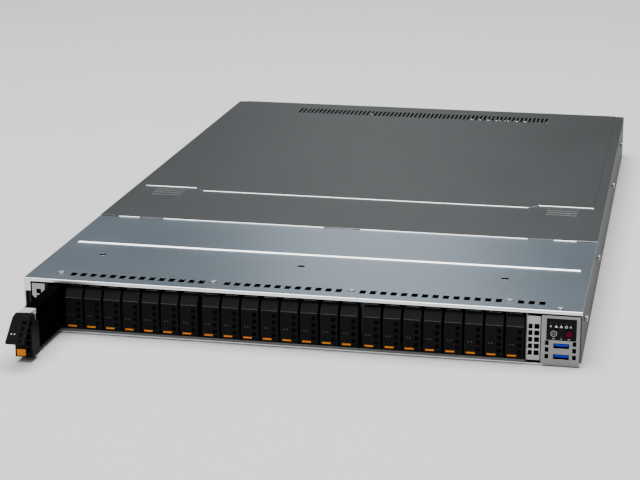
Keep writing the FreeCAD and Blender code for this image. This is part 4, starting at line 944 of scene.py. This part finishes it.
@dataclass
class DriveCarriers:
    """The 24 short drives in their carriers: the first drawn out, the rest seated."""

    pitch: float = 15.55
    group_step: float = 17.5
    first: float = -192.5
    per_group: int = 8
    count: int = 24
    pulled_out: float = 72.0
    lever_face: Triple = (0.0, -0.64, 0.768)
    lever_lights: Pair = (-86.4, 26.6)
    moulded_rounding: float = 0.22
    clip_rounding: float = 0.1
    release_rounding: float = 0.3

    def across(self, index: int) -> float:
        """Return the place across of one bay's middle."""
        group, place = divmod(index, self.per_group)
        return self.first + group * ((self.per_group - 1) * self.pitch + self.group_step) + place * self.pitch

    def _build_in_bay(self, shape: Shape, index: int, name: str, node: str) -> None:
        """Build a copy of a shape in one bay.

        Args:
            shape: Shape at the middle of a bay.
            index: The bay.
            name: Name of the piece.
            node: Node that it stands for.
        """
        placed = Shape()
        placed.copy_in(shape, (self.across(index), 0.0, 0.0))
        placed.build(name, node)

    def make(self) -> None:
        """Make the seated carriers and dress the drawn-out one."""
        module = DriveModule()
        front = CarrierFront(module)
        seated = front.make()
        module.add_to(seated)
        for index in range(1, self.count):
            node = f"drive_{index + 1:02d}"
            self._build_in_bay(seated, index, f"{node}_carrier", node)
        drawn = Shape()
        module.add_to(drawn, self.pulled_out)
        self._build_in_bay(drawn, 0, "drive_01_module_shell", "drive_01_module")
        Server.dress("drive_01_bezel", [CARRIER_PLASTIC], self.moulded_rounding)
        Server.dress("drive_01_lever", [CARRIER_PLASTIC], self.moulded_rounding)
        Server.dress("drive_01_clip", [CLIP_STEEL], self.clip_rounding)
        Server.dress("drive_01_release", [RELEASE_ORANGE], self.release_rounding)
        self._make_lever_lights(front)

    def _make_lever_lights(self, front: CarrierFront) -> None:
        """Make the two small lights on the open lever.

        Args:
            front: Front that gives the lights' places and size.
        """
        shape = Shape()
        out = Vector(self.lever_face)
        for across in front.lights:
            place = Vector((self.across(0) + across, *self.lever_lights))
            front.add_light(shape, place - out * front.light_sink, place + out * front.light_stand, RING_GREY)
        shape.build("drive_01_lever_lights", "drive_01_lever", stands_in=False)


@dataclass
class Covers:
    """The fixed front cover and the sliding rear cover with their screws and dimples."""

    rounding: float = 0.18
    front_top: float = 43.0
    sheet_top: float = 43.5
    side: float = 215.0
    lip_back: float = 1.0
    lip_clear: float = 5.0
    vent_back: float = 14.5
    vent_half: float = 2.5
    vent_slack: float = 0.1
    vent_margin: float = 0.5
    vent_shift: float = 2.4
    vent_stretch: float = 1.65
    recess_front: float = 30.0
    recess_back: float = 107.75
    recess_drop: float = 0.9
    fold_reach: float = 2.0
    fold_limit: float = 305.0
    seam: Pair = (191.0, 191.5)
    thumb: Pair = (182.0, 280.0)
    thumb_half: Pair = (15.0, 6.5)
    thumb_skirt: float = 0.9
    thumb_floor: Pair = (0.6, 0.05)
    thumb_share: float = 0.35
    thumb_stretch: float = 1.8
    rib_inset: float = 0.5
    slot_field: Pair = (146.0, 14.0)
    slot_middle: float = 650.0
    slot_depth: float = 1.0
    screws: tuple[Pair, ...] = ((-194.0, 19.0), (-69.0, 19.0), (41.0, 19.0), (162.5, 19.0), (201.5, 6.5))
    screw_radius: float = 2.6
    screw_tall: float = 0.9
    screw_top: float = 43.8
    screw_rounding: float = 0.5
    cross_arm: float = 1.35
    cross_half: float = 0.34
    cross_gap: float = 0.01
    cross_depth: float = 0.35
    shadow_width: float = 0.45
    shadow: Pair = (-0.1, 0.03)
    dimples: Triple = (-178.0, -11.0, 153.0)
    dimple_back: float = 75.0
    dimple_radius: float = 3.1
    dimple_bar: float = 0.22
    dimple_shade_span: Pair = (-0.3, 0.1)
    round_sides: int = 28

    def make(self) -> None:
        """Dress both covers and add the screws and dimples."""
        Server.dress("front_cover", [FRONT_STEEL, PAINTED_HIGHLIGHT_STEEL, PAINTED_SHADE], self.rounding,
                     detail=self._shape_front)
        Server.dress("top_cover", [REAR_STEEL, PAINTED_HIGHLIGHT_STEEL, PANEL_STEEL_AND_RIB_HIGHLIGHT, CHIP_BLACK_AND_SHADE], self.rounding,
                     segments=1, detail=self._shape_rear)
        self._make_screws()
        self._make_dimples()

    def _shape_front(self, shape: Shape) -> None:
        """Lengthen the vents, paint a highlight on the folded lip and the recess's back fold, and paint shade
        on the vent walls.

        Args:
            shape: The fixed cover in millimetres.
        """
        for corner in shape.mesh.verts:
            offset = corner.co.y - self.vent_back
            if abs(offset) < self.vent_half + self.vent_slack and abs(corner.co.x) < self.side:
                corner.co.y = self.vent_back + self.vent_shift + offset * self.vent_stretch
        shape.mesh.normal_update()
        vent_end = self.vent_back + self.vent_shift + self.vent_half * self.vent_stretch + self.vent_margin
        for face in shape.mesh.faces:
            middle, normal = face.calc_center_median(), face.normal
            folded = normal.y < -LEANING and normal.z > LEANING
            # Painted highlight on the front lip and on the recess's back fold, which face the light.
            if middle.y < self.lip_back or folded and abs(middle.y - self.recess_back) < self.fold_reach:
                shape.give([face], PAINTED_HIGHLIGHT_STEEL)
            # Painted shade on the vent walls.
            elif abs(normal.z) < STEEP and self.lip_clear < middle.y < vent_end:
                shape.give([face], PAINTED_SHADE)

    def _near_thumbs(self, place: Vector, reach: Pair) -> bool:
        """Tell whether a place is within reach of the middle of a thumb pad."""
        return all(abs(abs(place[k]) - self.thumb[k]) < reach[k] for k in range(2))

    def _shape_rear(self, shape: Shape) -> None:
        """Lengthen the thumb pads and lift their floors; paint highlights on the seam, the folds and the pad
        ribs, and paint shade on the slot walls.

        Args:
            shape: The sliding cover in millimetres.
        """
        wide, long = self.thumb_half
        deepest, highest = (self.sheet_top - drop for drop in self.thumb_floor)
        for corner in shape.mesh.verts:
            if self._near_thumbs(corner.co, (wide + self.thumb_skirt, long + self.thumb_skirt)):
                if deepest < corner.co.z < highest:
                    corner.co.z = self.sheet_top - (self.sheet_top - corner.co.z) * self.thumb_share
                corner.co.y = self.thumb[1] + (corner.co.y - self.thumb[1]) * self.thumb_stretch
        shape.mesh.normal_update()
        pad = wide, (long - self.rib_inset) * self.thumb_stretch
        for face in shape.mesh.faces:
            middle, normal = face.calc_center_median(), face.normal
            on_seam = normal.y < -SQUARE and self.seam[0] < middle.y < self.seam[1]
            on_fold = normal.y < -LEANING and normal.z > LEANING and middle.y < self.fold_limit
            # Painted highlight on the thumb pads' rib faces that face the front.
            if normal.y < -SLANTED and self._near_thumbs(middle, pad):
                shape.give([face], PANEL_STEEL_AND_RIB_HIGHLIGHT)
            # Painted shade on the rear slot walls and their rounded edges.
            elif abs(normal.z) < SQUARE and self._in_slots(middle):
                shape.give([face], CHIP_BLACK_AND_SHADE)
            # Painted highlight on the seam step and on the folds that face the light.
            elif on_seam or on_fold:
                shape.give([face], PAINTED_HIGHLIGHT_STEEL)

    def _in_slots(self, place: Vector) -> bool:
        """Tell whether a place in the sliding cover's sheet lies in the field of rear slots.

        Args:
            place: The place.

        Returns:
            True in the field.
        """
        across, along = self.slot_field
        near = abs(place.x) < across and abs(place.y - self.slot_middle) < along
        return near and place.z > self.sheet_top - self.slot_depth

    def _make_screws(self) -> None:
        """Make the low screw heads, each with a crossed recess turned its own way, painted shade on the
        recess floors and a ring of painted shadow round the foot.
        """
        arm, half, gap = self.cross_arm, self.cross_half, self.cross_gap
        low_up, high_up = self.screw_top - FACE_REACH, self.screw_top + FACE_REACH
        head = Shape()
        head.rod((0, 0, self.screw_top - self.screw_tall), (0, 0, self.screw_top), self.screw_radius,
                 BRIGHT_STEEL, self.round_sides, self.screw_rounding)
        for low, high in (((-arm, -half), (arm, half)), ((-half, half + gap), (half, arm)),
                          ((-half, -arm), (half, -half - gap))):
            head.pocket(Facing.TOP, (*low, low_up), (*high, high_up), self.cross_depth, PAINTED_SHADE)
        # A thin near-black disc under the head paints its shadow on the cover.
        low_up, high_up = (self.front_top + step for step in self.shadow)
        head.rod((0, 0, low_up), (0, 0, high_up), self.screw_radius + self.shadow_width, PAINTED_SHADE,
                 self.round_sides)
        shape = Shape()
        for across, back in self.screws:
            shape.copy_in(head, (across, back, 0.0), Matrix.Rotation(across, 4, "Z"))
        shape.build("cover_screw_heads", "cover_screws")

    def _make_dimples(self) -> None:
        """Make the three small dimples in the front cover's sloping recess, each a ring with a disc of
        painted shade inside.
        """
        shape = Shape()
        share = (self.dimple_back - self.recess_front) / (self.recess_back - self.recess_front)
        floor = self.front_top - self.recess_drop * share
        low, high = (floor + step for step in self.dimple_shade_span)
        for across in self.dimples:
            shape.ring((across, self.dimple_back, floor), (0, 0, 1), self.dimple_radius, self.dimple_bar,
                       FRONT_STEEL, self.round_sides)
            # Disc of painted shade in the dimple.
            shape.rod((across, self.dimple_back, low), (across, self.dimple_back, high),
                      self.dimple_radius, PAINTED_SHADE, self.round_sides)
        shape.build("front_cover_dimples", "front_cover", stands_in=False)


@dataclass
class FrontEnd:
    """Plates, corner insert and control panel of the front."""

    plate_rounding: float = 0.06
    plain_rounding: float = 0.3
    window_rounding: float = 0.12
    port_rounding: float = 0.08
    port_feet: Pair = (4.9, 13.5)
    port_inside: Box = ((197.5, -0.2, 0.2), (210.0, 12.4, 4.6))
    tongue: Box = ((198.3, 0.9, 1.3), (209.2, 12.5, 3.9))
    tongue_drop: float = 0.35
    window_front: float = -1.0
    print_depth: Pair = (-0.05, 0.2)
    mark_up: float = 31.2
    marks: tuple[tuple[float, Mark], ...] = (
        (195.5, Mark.TRIANGLE), (199.5, Mark.BLOCK), (203.2, Mark.BLOCK), (207.0, Mark.RING),
        (210.2, Mark.TRIANGLE))
    triangle_radius: float = 0.95
    triangle_sides: int = 3
    block_half: float = 1.05
    block_foot: float = 0.75
    block_head: Pair = (0.45, 0.85)
    mark_ring: Pair = (0.8, 0.2)
    mark_ring_sides: int = 20
    light_rise: float = 2.6
    light_radius: float = 0.4
    light_sides: int = 12
    dash_half: float = 0.9
    dash_up: Pair = (21.4, 21.75)
    arrow: Pair = (203.5, 21.6)
    arrow_radius: float = 0.5
    locate: Pair = (197.8, 25.6)
    power: Pair = (209.2, 25.6)
    button_front: float = -1.5
    button_long: float = 4.9
    button_sides: int = 36
    locate_radius: float = 2.7
    locate_rounding: float = 0.3
    locate_rings: tuple[Pair, ...] = ((2.2, 0.22), (0.95, 0.13))
    locate_ring_sink: float = 0.1
    power_radius: float = 3.0
    power_rounding: float = 0.4
    power_ring: Pair = (1.2, 0.12)
    power_ring_sink: float = 0.02
    power_rim: Pair = (2.75, 0.3)
    power_rim_sink: float = 0.12
    power_bar: Box = ((-0.12, -0.06, 0.5), (0.12, 0.1, 1.7))

    def make(self) -> None:
        """Dress the plates and make the panel's print, buttons and tongues."""
        for node in ("left_vent_plate", "right_vent_plate"):
            Server.dress(node, [PLATE_STEEL], self.plate_rounding, segments=1)
        Server.dress("control_panel", [PANEL_STEEL_AND_RIB_HIGHLIGHT], self.plain_rounding)
        Server.dress("corner_insert", [BLACK_PLASTIC], self.plain_rounding)
        Server.dress("panel_window", [LABEL_FILM], self.window_rounding)
        Server.dress("usb_ports", [CONNECTOR_STEEL, TONGUE_BLUE, PAINTED_SHADE], self.port_rounding,
                     segments=1, detail=self._shape_ports)
        self._make_print()
        self._make_locate_button()
        self._make_power_button()

    def _shape_ports(self, shape: Shape) -> None:
        """Paint shade on the two ports' insides, and colour and lower their tongues.

        Args:
            shape: Both ports in millimetres.
        """
        for foot in self.port_feet:
            low, high = raised(self.tongue, foot)
            # Painted shade on the port's inside.
            shape.paint(*raised(self.port_inside, foot), PAINTED_SHADE)
            shape.paint(low, high, TONGUE_BLUE)
            for corner in shape.mesh.verts:
                if within(corner.co, low, high):
                    corner.co.z -= self.tongue_drop

    def _add_mark(self, shape: Shape, across: float, mark: Mark) -> None:
        """Add one plain printed mark.

        Args:
            shape: Shape that gets the mark.
            across: Place of its middle.
            mark: Its form.
        """
        up = self.mark_up
        low, high = (self.window_front + step for step in self.print_depth)
        if mark is Mark.TRIANGLE:
            shape.rod((across, low, up), (across, high, up), self.triangle_radius, PRINT_GREY,
                      self.triangle_sides)
        elif mark is Mark.RING:
            shape.ring((across, self.window_front, up), (0, 1, 0), *self.mark_ring, PRINT_GREY,
                       self.mark_ring_sides)
        else:
            half, head = self.block_half, self.block_head
            shape.box((across - half, low, up - self.block_foot), (across + half, high, up), PRINT_GREY)
            shape.box((across - head[0], low, up), (across + head[0], high, up + head[1]), PRINT_GREY)

    def _make_print(self) -> None:
        """Make the panel's small lights and plain printed marks."""
        shape = Shape()
        low, high = (self.window_front + step for step in self.print_depth)
        light_up = self.mark_up + self.light_rise
        for across, mark in self.marks:
            self._add_mark(shape, across, mark)
            shape.rod((across, low, light_up), (across, high, light_up), self.light_radius, CLEAR_LENS_AND_HIGHLIGHT,
                      self.light_sides)
        foot, head = self.dash_up
        for across, _ in (self.locate, self.power):
            shape.box((across - self.dash_half, low, foot), (across + self.dash_half, high, head), PRINT_GREY)
        across, up = self.arrow
        shape.rod((across, low, up), (across, high, up), self.arrow_radius, PRINT_GREY, self.triangle_sides)
        shape.build("panel_print", "panel_window", stands_in=False)

    def _make_locate_button(self) -> None:
        """Make the dark locate button with its two pale rings."""
        across, up = self.locate
        front = self.button_front
        shape = Shape()
        shape.rod((across, front, up), (across, front + self.button_long, up), self.locate_radius,
                  LABEL_FILM, self.button_sides, self.locate_rounding)
        for radius, bar in self.locate_rings:
            shape.ring((across, front + self.locate_ring_sink, up), (0, 1, 0), radius, bar, RING_GREY)
        shape.build("locate_button_cap", "locate_button")

    def _make_power_button(self) -> None:
        """Make the dark red power button with its rim and its raised sign."""
        across, up = self.power
        front = self.button_front
        shape = Shape()
        shape.rod((across, front, up), (across, front + self.button_long, up), self.power_radius,
                  POWER_RED, self.button_sides, self.power_rounding)
        shape.ring((across, front + self.power_ring_sink, up), (0, 1, 0), *self.power_ring, POWER_RED)
        shape.ring((across, front + self.power_rim_sink, up), (0, 1, 0), *self.power_rim, LABEL_FILM)
        (left, near, foot), (right, far, head) = self.power_bar
        shape.box((across + left, front + near, up + foot), (across + right, front + far, up + head),
                  POWER_RED)
        shape.build("power_button_cap", "power_button")


@dataclass
class FanBank:
    """Six fans in a row: their frames and bladed rotors."""

    count: int = 6
    pitch: float = 68.0
    middle_up: float = 21.2
    frame_rounding: float = 0.3
    rotor_front: float = 210.0
    hub_radius: float = 9.2
    hub_long: float = 20.0
    hub_sides: int = 32
    hub_rounding: float = 0.8
    blades: int = 7
    blade_grid: tuple[int, int] = (6, 8)
    blade_root: float = 8.6
    blade_span: float = 9.0
    blade_long: float = 17.0
    blade_sheet: float = 0.7
    twist: Pair = (0.95, 0.45)
    camber: float = 0.12

    def across(self, index: int) -> float:
        """Return the place across of one fan's axis."""
        return (index - (self.count - 1) / 2) * self.pitch

    def _blade(self) -> Shape:
        """Make one blade: a grid bent round the axis, leaning less towards its tip.

        Returns:
            The blade, about an axis through the origin.
        """
        shape = Shape()
        flat = shape.mesh
        rows, columns = self.blade_grid
        half = 0.5
        root_lean, tip_loss = self.twist
        bmesh.ops.create_grid(flat, x_segments=rows, y_segments=columns, size=half)
        for corner in flat.verts:
            out, along = corner.co.x + half, corner.co.y
            radius = self.blade_root + out * self.blade_span
            lean = (root_lean - tip_loss * out) * along + self.camber * math.sin(math.pi * (along + half))
            back = self.rotor_front + self.hub_long / 2 + along * self.blade_long
            corner.co = Vector((radius * math.sin(lean), back, radius * math.cos(lean)))
        bmesh.ops.solidify(flat, geom=flat.faces[:], thickness=self.blade_sheet)
        bmesh.ops.recalc_face_normals(flat, faces=flat.faces)
        shape.give(flat.faces, BLACK_PLASTIC)
        return shape

    def make(self) -> None:
        """Dress the frames and make the rotors, each a rounded hub with twisted blades."""
        Server.dress("fan_frames", [BLACK_PLASTIC], self.frame_rounding, segments=1)
        rotor = Shape()
        rotor.rod((0, self.rotor_front, 0), (0, self.rotor_front + self.hub_long, 0), self.hub_radius,
                  BLACK_PLASTIC, self.hub_sides, self.hub_rounding)
        blade = self._blade()
        for step in range(self.blades):
            rotor.copy_in(blade, turn=Matrix.Rotation(step * math.tau / self.blades, 4, "Y"))
        for index in range(self.count):
            placed = Shape()
            placed.copy_in(rotor, (self.across(index), 0.0, self.middle_up))
            name = f"fan_rotor_{index + 1}"
            placed.build(f"{name}_blades", name)


@dataclass(frozen=True)
class Block:
    """One larger part of the main board."""

    place: Pair
    size: Triple
    finish: Finish = CHIP_BLACK_AND_SHADE
    rounding: float = 0.4


@dataclass
class Electronics:
    """Main board, memory, heat sinks and backplane with their small parts."""

    board_top: float = 7.8
    seed: int = 7
    coils_across: tuple[float, ...] = (-152.0, -62.0, 62.0, 152.0)
    coils: int = 7
    coil_back: float = 440.0
    coil_pitch: float = 9.5
    coil_size: Triple = (8.0, 7.0, 5.0)
    coil_rounding: float = 0.4
    capacitors: int = 9
    capacitor_place: Pair = (-40.0, 452.0)
    capacitor_pitch: float = 11.0
    capacitor_tall: float = 8.0
    capacitor_radius: float = 3.6
    capacitor_sides: int = 16
    capacitor_rounding: float = 0.4
    blocks: tuple[Block, ...] = (
        Block((10.0, 520.0), (40.0, 40.0, 3.0)), Block((110.0, 540.0), (28.0, 28.0, 2.2)),
        Block((-30.0, 600.0), (18.0, 18.0, 1.8), rounding=0.3),
        Block((150.0, 470.0), (22.0, 35.0, 12.0), CONNECTOR_STEEL, 0.5))
    small_parts: int = 90
    small_across: Pair = (-40.0, 205.0)
    small_back: Pair = (515.0, 660.0)
    small_sizes: tuple[Pair, ...] = ((1.2, 2.4), (2.4, 1.2), (3.0, 3.0), (5.0, 4.0))
    small_tall: float = 1.0
    modules: int = 8
    module_pitch: float = 7.6
    module_edges: Pair = (7.0, 208.5)
    chips: int = 8
    chip_back: float = 307.0
    chip_pitch: float = 15.5
    chip_half: float = 1.5
    chip_long: float = 10.0
    chip_up: Pair = (21.0, 31.0)
    backplane_sockets: Box = ((-230.0, 100.0, 0.0), (230.0, 135.7, 45.0))

    def make(self) -> None:
        """Recolour the boards and coolers, dress the backplane and add the small parts."""
        for node, finish in (("main_board", BOARD_GREEN), ("memory_modules", BOARD_GREEN),
                             ("processor_coolers", FIN_ALUMINIUM)):
            Server.recolour(node, finish)
        Server.dress("drive_backplane", [BOARD_GREEN, BLACK_PLASTIC], 0.0,
                     detail=lambda shape: shape.paint(*self.backplane_sockets, BLACK_PLASTIC))
        self._make_board_parts()
        self._make_memory_chips()

    def _stand(self, shape: Shape, place: Pair, size: Triple, finish: Finish, rounding: float = 0.0) -> None:
        """Stand a block on the main board.

        Args:
            shape: Shape that gets the block.
            place: Across and back of its front left corner.
            size: Its width, length and height.
            finish: Its finish.
            rounding: Width of its rounded edges.
        """
        across, back = place
        wide, long, tall = size
        shape.box((across, back, self.board_top), (across + wide, back + long, self.board_top + tall), finish,
                  rounding)

    def _make_board_parts(self) -> None:
        """Make the coils, capacitors and chips, and scatter small parts over the board's clear field."""
        draw = random.Random(self.seed)
        shape = Shape()
        for across in self.coils_across:
            for row in range(self.coils):
                place = across - self.coil_size[0] / 2, self.coil_back + row * self.coil_pitch
                self._stand(shape, place, self.coil_size, CHIP_BLACK_AND_SHADE, self.coil_rounding)
        first, back = self.capacitor_place
        for row in range(self.capacitors):
            across = first + row * self.capacitor_pitch
            shape.rod((across, back, self.board_top), (across, back, self.board_top + self.capacitor_tall),
                      self.capacitor_radius, FIN_ALUMINIUM, self.capacitor_sides, self.capacitor_rounding)
        for block in self.blocks:
            self._stand(shape, block.place, block.size, block.finish, block.rounding)
        for _ in range(self.small_parts):
            place = draw.uniform(*self.small_across), draw.uniform(*self.small_back)
            size = *draw.choice(self.small_sizes), self.small_tall
            self._stand(shape, place, size, draw.choice((CHIP_BLACK_AND_SHADE, CONNECTOR_STEEL)))
        shape.build("main_board_parts", "main_board", stands_in=False)

    def _make_memory_chips(self) -> None:
        """Make the chips on both faces of each memory module, in four banks of modules."""
        shape = Shape()
        inner, outer = self.module_edges
        span = (self.modules - 1) * self.module_pitch
        foot, head = self.chip_up
        for start in (-outer, -inner - span, inner, outer - span):
            for module in range(self.modules):
                middle = start + module * self.module_pitch
                for chip in range(self.chips):
                    back = self.chip_back + chip * self.chip_pitch
                    shape.box((middle - self.chip_half, back, foot),
                              (middle + self.chip_half, back + self.chip_long, head), CHIP_BLACK_AND_SHADE)
        shape.build("memory_chips", "memory_modules", stands_in=False)


@dataclass
class RearEnd:
    """Rear panel, sockets, slot covers and the two power supplies."""

    panel_rounding: float = 0.12
    cover_rounding: float = 0.15
    supply_rounding: float = 0.3
    latch_rounding: float = 0.5
    socket_insides: tuple[Box, ...] = (
        ((-46.8, 684.0, 9.0), (-33.2, 702.3, 19.6)), ((-54.9, 684.0, 10.0), (-43.0, 702.3, 18.4)),
        ((-36.9, 684.0, 10.0), (-25.0, 702.3, 18.4)))
    supply_plastic: tuple[Box, ...] = (
        ((-220.0, 701.2, 0.0), (-60.0, 724.0, 45.0)), ((-220.0, 686.0, 10.0), (-60.0, 699.9, 31.0)))
    network_sockets: Pair = (-49.0, -31.0)
    wires: int = 8
    wire_first: float = 3.6
    wire_pitch: float = 1.03
    wire: Box = ((-0.2, 690.0, 17.0), (0.2, 699.0, 17.5))
    light_offset: float = 4.6
    light: Box = ((-1.2, 702.0, 19.4), (1.2, 702.4, 20.6))
    light_rounding: float = 0.1

    def make(self) -> None:
        """Dress the rear's pieces and make the network sockets' contacts."""
        Server.dress("rear_panel", [CHASSIS_STEEL], self.panel_rounding)
        Server.dress("slot_covers", [CONNECTOR_STEEL], self.cover_rounding)
        Server.dress("rear_sockets", [CONNECTOR_STEEL, BLACK_PLASTIC], self.panel_rounding, segments=1,
                     detail=lambda shape: self._darken(shape, self.socket_insides))
        for index in (1, 2):
            Server.dress(f"power_supply_{index}", [SUPPLY_STEEL, BLACK_PLASTIC], self.supply_rounding,
                         detail=lambda shape: self._darken(shape, self.supply_plastic))
            Server.dress(f"supply_latch_{index}", [LATCH_RED], self.latch_rounding)
        self._make_contacts()

    @staticmethod
    def _darken(shape: Shape, regions: Iterable[Box]) -> None:
        """Give the faces in some regions black plastic."""
        for low, high in regions:
            shape.paint(low, high, BLACK_PLASTIC)

    @staticmethod
    def _add_at(shape: Shape, box: Box, across: float, finish: Finish, rounding: float = 0.0) -> None:
        """Add a box at a place across.

        Args:
            shape: Shape that gets the box.
            box: The box about the middle.
            across: Its place across.
            finish: Its finish.
            rounding: Width of its rounded edges.
        """
        (left, *near), (right, *far) = box
        shape.box((across + left, *near), (across + right, *far), finish, rounding)

    def _make_contacts(self) -> None:
        """Make the spring contacts in the network sockets and their lights."""
        shape = Shape()
        for middle in self.network_sockets:
            for row in range(self.wires):
                across = middle - self.wire_first + row * self.wire_pitch
                self._add_at(shape, self.wire, across, GOLD_CONTACT)
            for offset in (-self.light_offset, self.light_offset):
                self._add_at(shape, self.light, middle + offset, LIGHT_GREEN, self.light_rounding)
        shape.build("network_contacts", "rear_sockets", stands_in=False)


@dataclass
class Chassis:
    """Tray, cage and rail studs."""

    tray_rounding: float = 0.25
    stud_rounding: float = 0.3
    front_limit: float = 20.0
    sill_top: float = 3.0

    def make(self) -> None:
        """Dress the tray and studs and recolour the cage."""
        Server.dress("chassis_tray", [CHASSIS_STEEL, TRAY_HIGHLIGHT_STEEL, CHIP_BLACK_AND_SHADE], self.tray_rounding,
                     detail=self._paint_front_highlight_and_shade)
        Server.dress("rail_studs", [PLATE_STEEL], self.stud_rounding)
        Server.recolour("drive_cage", CHASSIS_STEEL)

    def _paint_front_highlight_and_shade(self, shape: Shape) -> None:
        """Split the tray's front edge at the sill's top, paint a highlight on the sill and the left edge, and
        paint shade on the right edge.

        Args:
            shape: The tray in millimetres.
        """
        edge = [face for face in shape.mesh.faces
                if face.calc_center_median().y < self.front_limit and face.normal.y < -SLANTED]
        shape.cut(edge, (0.0, 0.0, self.sill_top), (0.0, 0.0, 1.0))
        for face in shape.mesh.faces:
            middle, forward = face.calc_center_median(), face.normal.y < -SLANTED
            if middle.y > self.front_limit:
                continue
            # Painted highlight on the sill and the left edge; painted shade on the right edge.
            if middle.z < self.sill_top and (forward or face.normal.z > STEEP):
                shape.give([face], TRAY_HIGHLIGHT_STEEL)
            elif forward:
                shape.give([face], TRAY_HIGHLIGHT_STEEL if middle.x < 0.0 else CHIP_BLACK_AND_SHADE)


@dataclass(frozen=True)
class SoftLight:
    """One rectangular soft light, in metres and watts."""

    name: str
    place: Triple
    target: Triple
    size: Pair
    power: float

    def make(self) -> None:
        """Make the light and turn it to its target."""
        data = bpy.data.lights.new(self.name, "AREA")
        data.shape, data.energy = "RECTANGLE", self.power
        data.size, data.size_y = self.size
        lamp = bpy.data.objects.new(self.name, data)
        lamp.location = self.place
        aim = Vector(self.target) - Vector(self.place)
        lamp.rotation_euler = aim.to_track_quat("-Z", "Y").to_euler()
        bpy.context.scene.collection.objects.link(lamp)


@dataclass
class Stage:
    """Pale floor, soft lights, even surroundings and camera."""

    floor_half: float = 9.0
    floor_drop: float = 0.0005
    world_strength: float = 0.14
    lights: tuple[SoftLight, ...] = (
        SoftLight("top_light", (0.0, 0.3, 3.0), (0.0, 0.3, 0.0), (3.0, 3.0), 165.0),
        SoftLight("back_panel", (-0.46, 3.08, 0.95), (0.05, 0.1, 0.04), (0.55, 0.7), 1.6),
        SoftLight("front_light", (-0.3, -2.0, 1.7), (0.0, 0.1, 0.0), (1.0, 1.0), 12.0))
    azimuth: float = 11.666
    elevation: float = 16.018
    eye: Triple = (0.28454, -1.28197, 0.46328)
    lens: float = 101.48
    clip: Pair = (0.05, 30.0)

    def make(self) -> None:
        """Make floor, lights, surroundings and camera."""
        self._make_floor()
        for light in self.lights:
            light.make()
        self._make_world()
        self._make_camera()

    def _make_floor(self) -> None:
        """Make the floor."""
        mesh = bpy.data.meshes.new("floor")
        flat = bmesh.new()
        bmesh.ops.create_grid(flat, x_segments=1, y_segments=1, size=self.floor_half)
        flat.to_mesh(mesh)
        flat.free()
        mesh.materials.append(STAGE_WHITE.material(Server.effects))
        floor = bpy.data.objects.new("floor", mesh)
        floor.location.z = -self.floor_drop
        bpy.context.scene.collection.objects.link(floor)

    def _make_world(self) -> None:
        """Make the even white surroundings."""
        world = bpy.data.worlds.new("soft_room")
        world.use_nodes = True
        set_inputs(world.node_tree.nodes["Background"],
                   {"Color": WHITE, "Strength": self.world_strength})
        bpy.context.scene.world = world

    def _make_camera(self) -> None:
        """Make the camera, turned by its azimuth and elevation."""
        turn, rise = math.radians(self.azimuth), math.radians(self.elevation)
        back = Vector((math.sin(turn) * math.cos(rise), -math.cos(turn) * math.cos(rise), math.sin(rise)))
        right = Vector((math.cos(turn), math.sin(turn), 0.0))
        axes = Matrix((right, back.cross(right), back)).transposed()
        data = bpy.data.cameras.new("camera")
        data.lens = self.lens
        data.clip_start, data.clip_end = self.clip
        camera = bpy.data.objects.new("camera", data)
        camera.matrix_world = Matrix.Translation(self.eye) @ axes.to_4x4()
        bpy.context.scene.collection.objects.link(camera)
        bpy.context.scene.camera = camera


def main() -> None:
    """Build every sub-assembly in order and log the face count of each piece that is shown."""
    logging.basicConfig(level=logging.INFO, format="%(message)s")
    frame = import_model()
    Server.open(frame)
    for part in (Chassis(), Covers(), FrontEnd(), DriveCarriers(), FanBank(), Electronics(), RearEnd(),
                 Stage()):
        LOG.info("making %s", type(part).__name__)
        part.make()


if __name__ == "__main__":
    main()
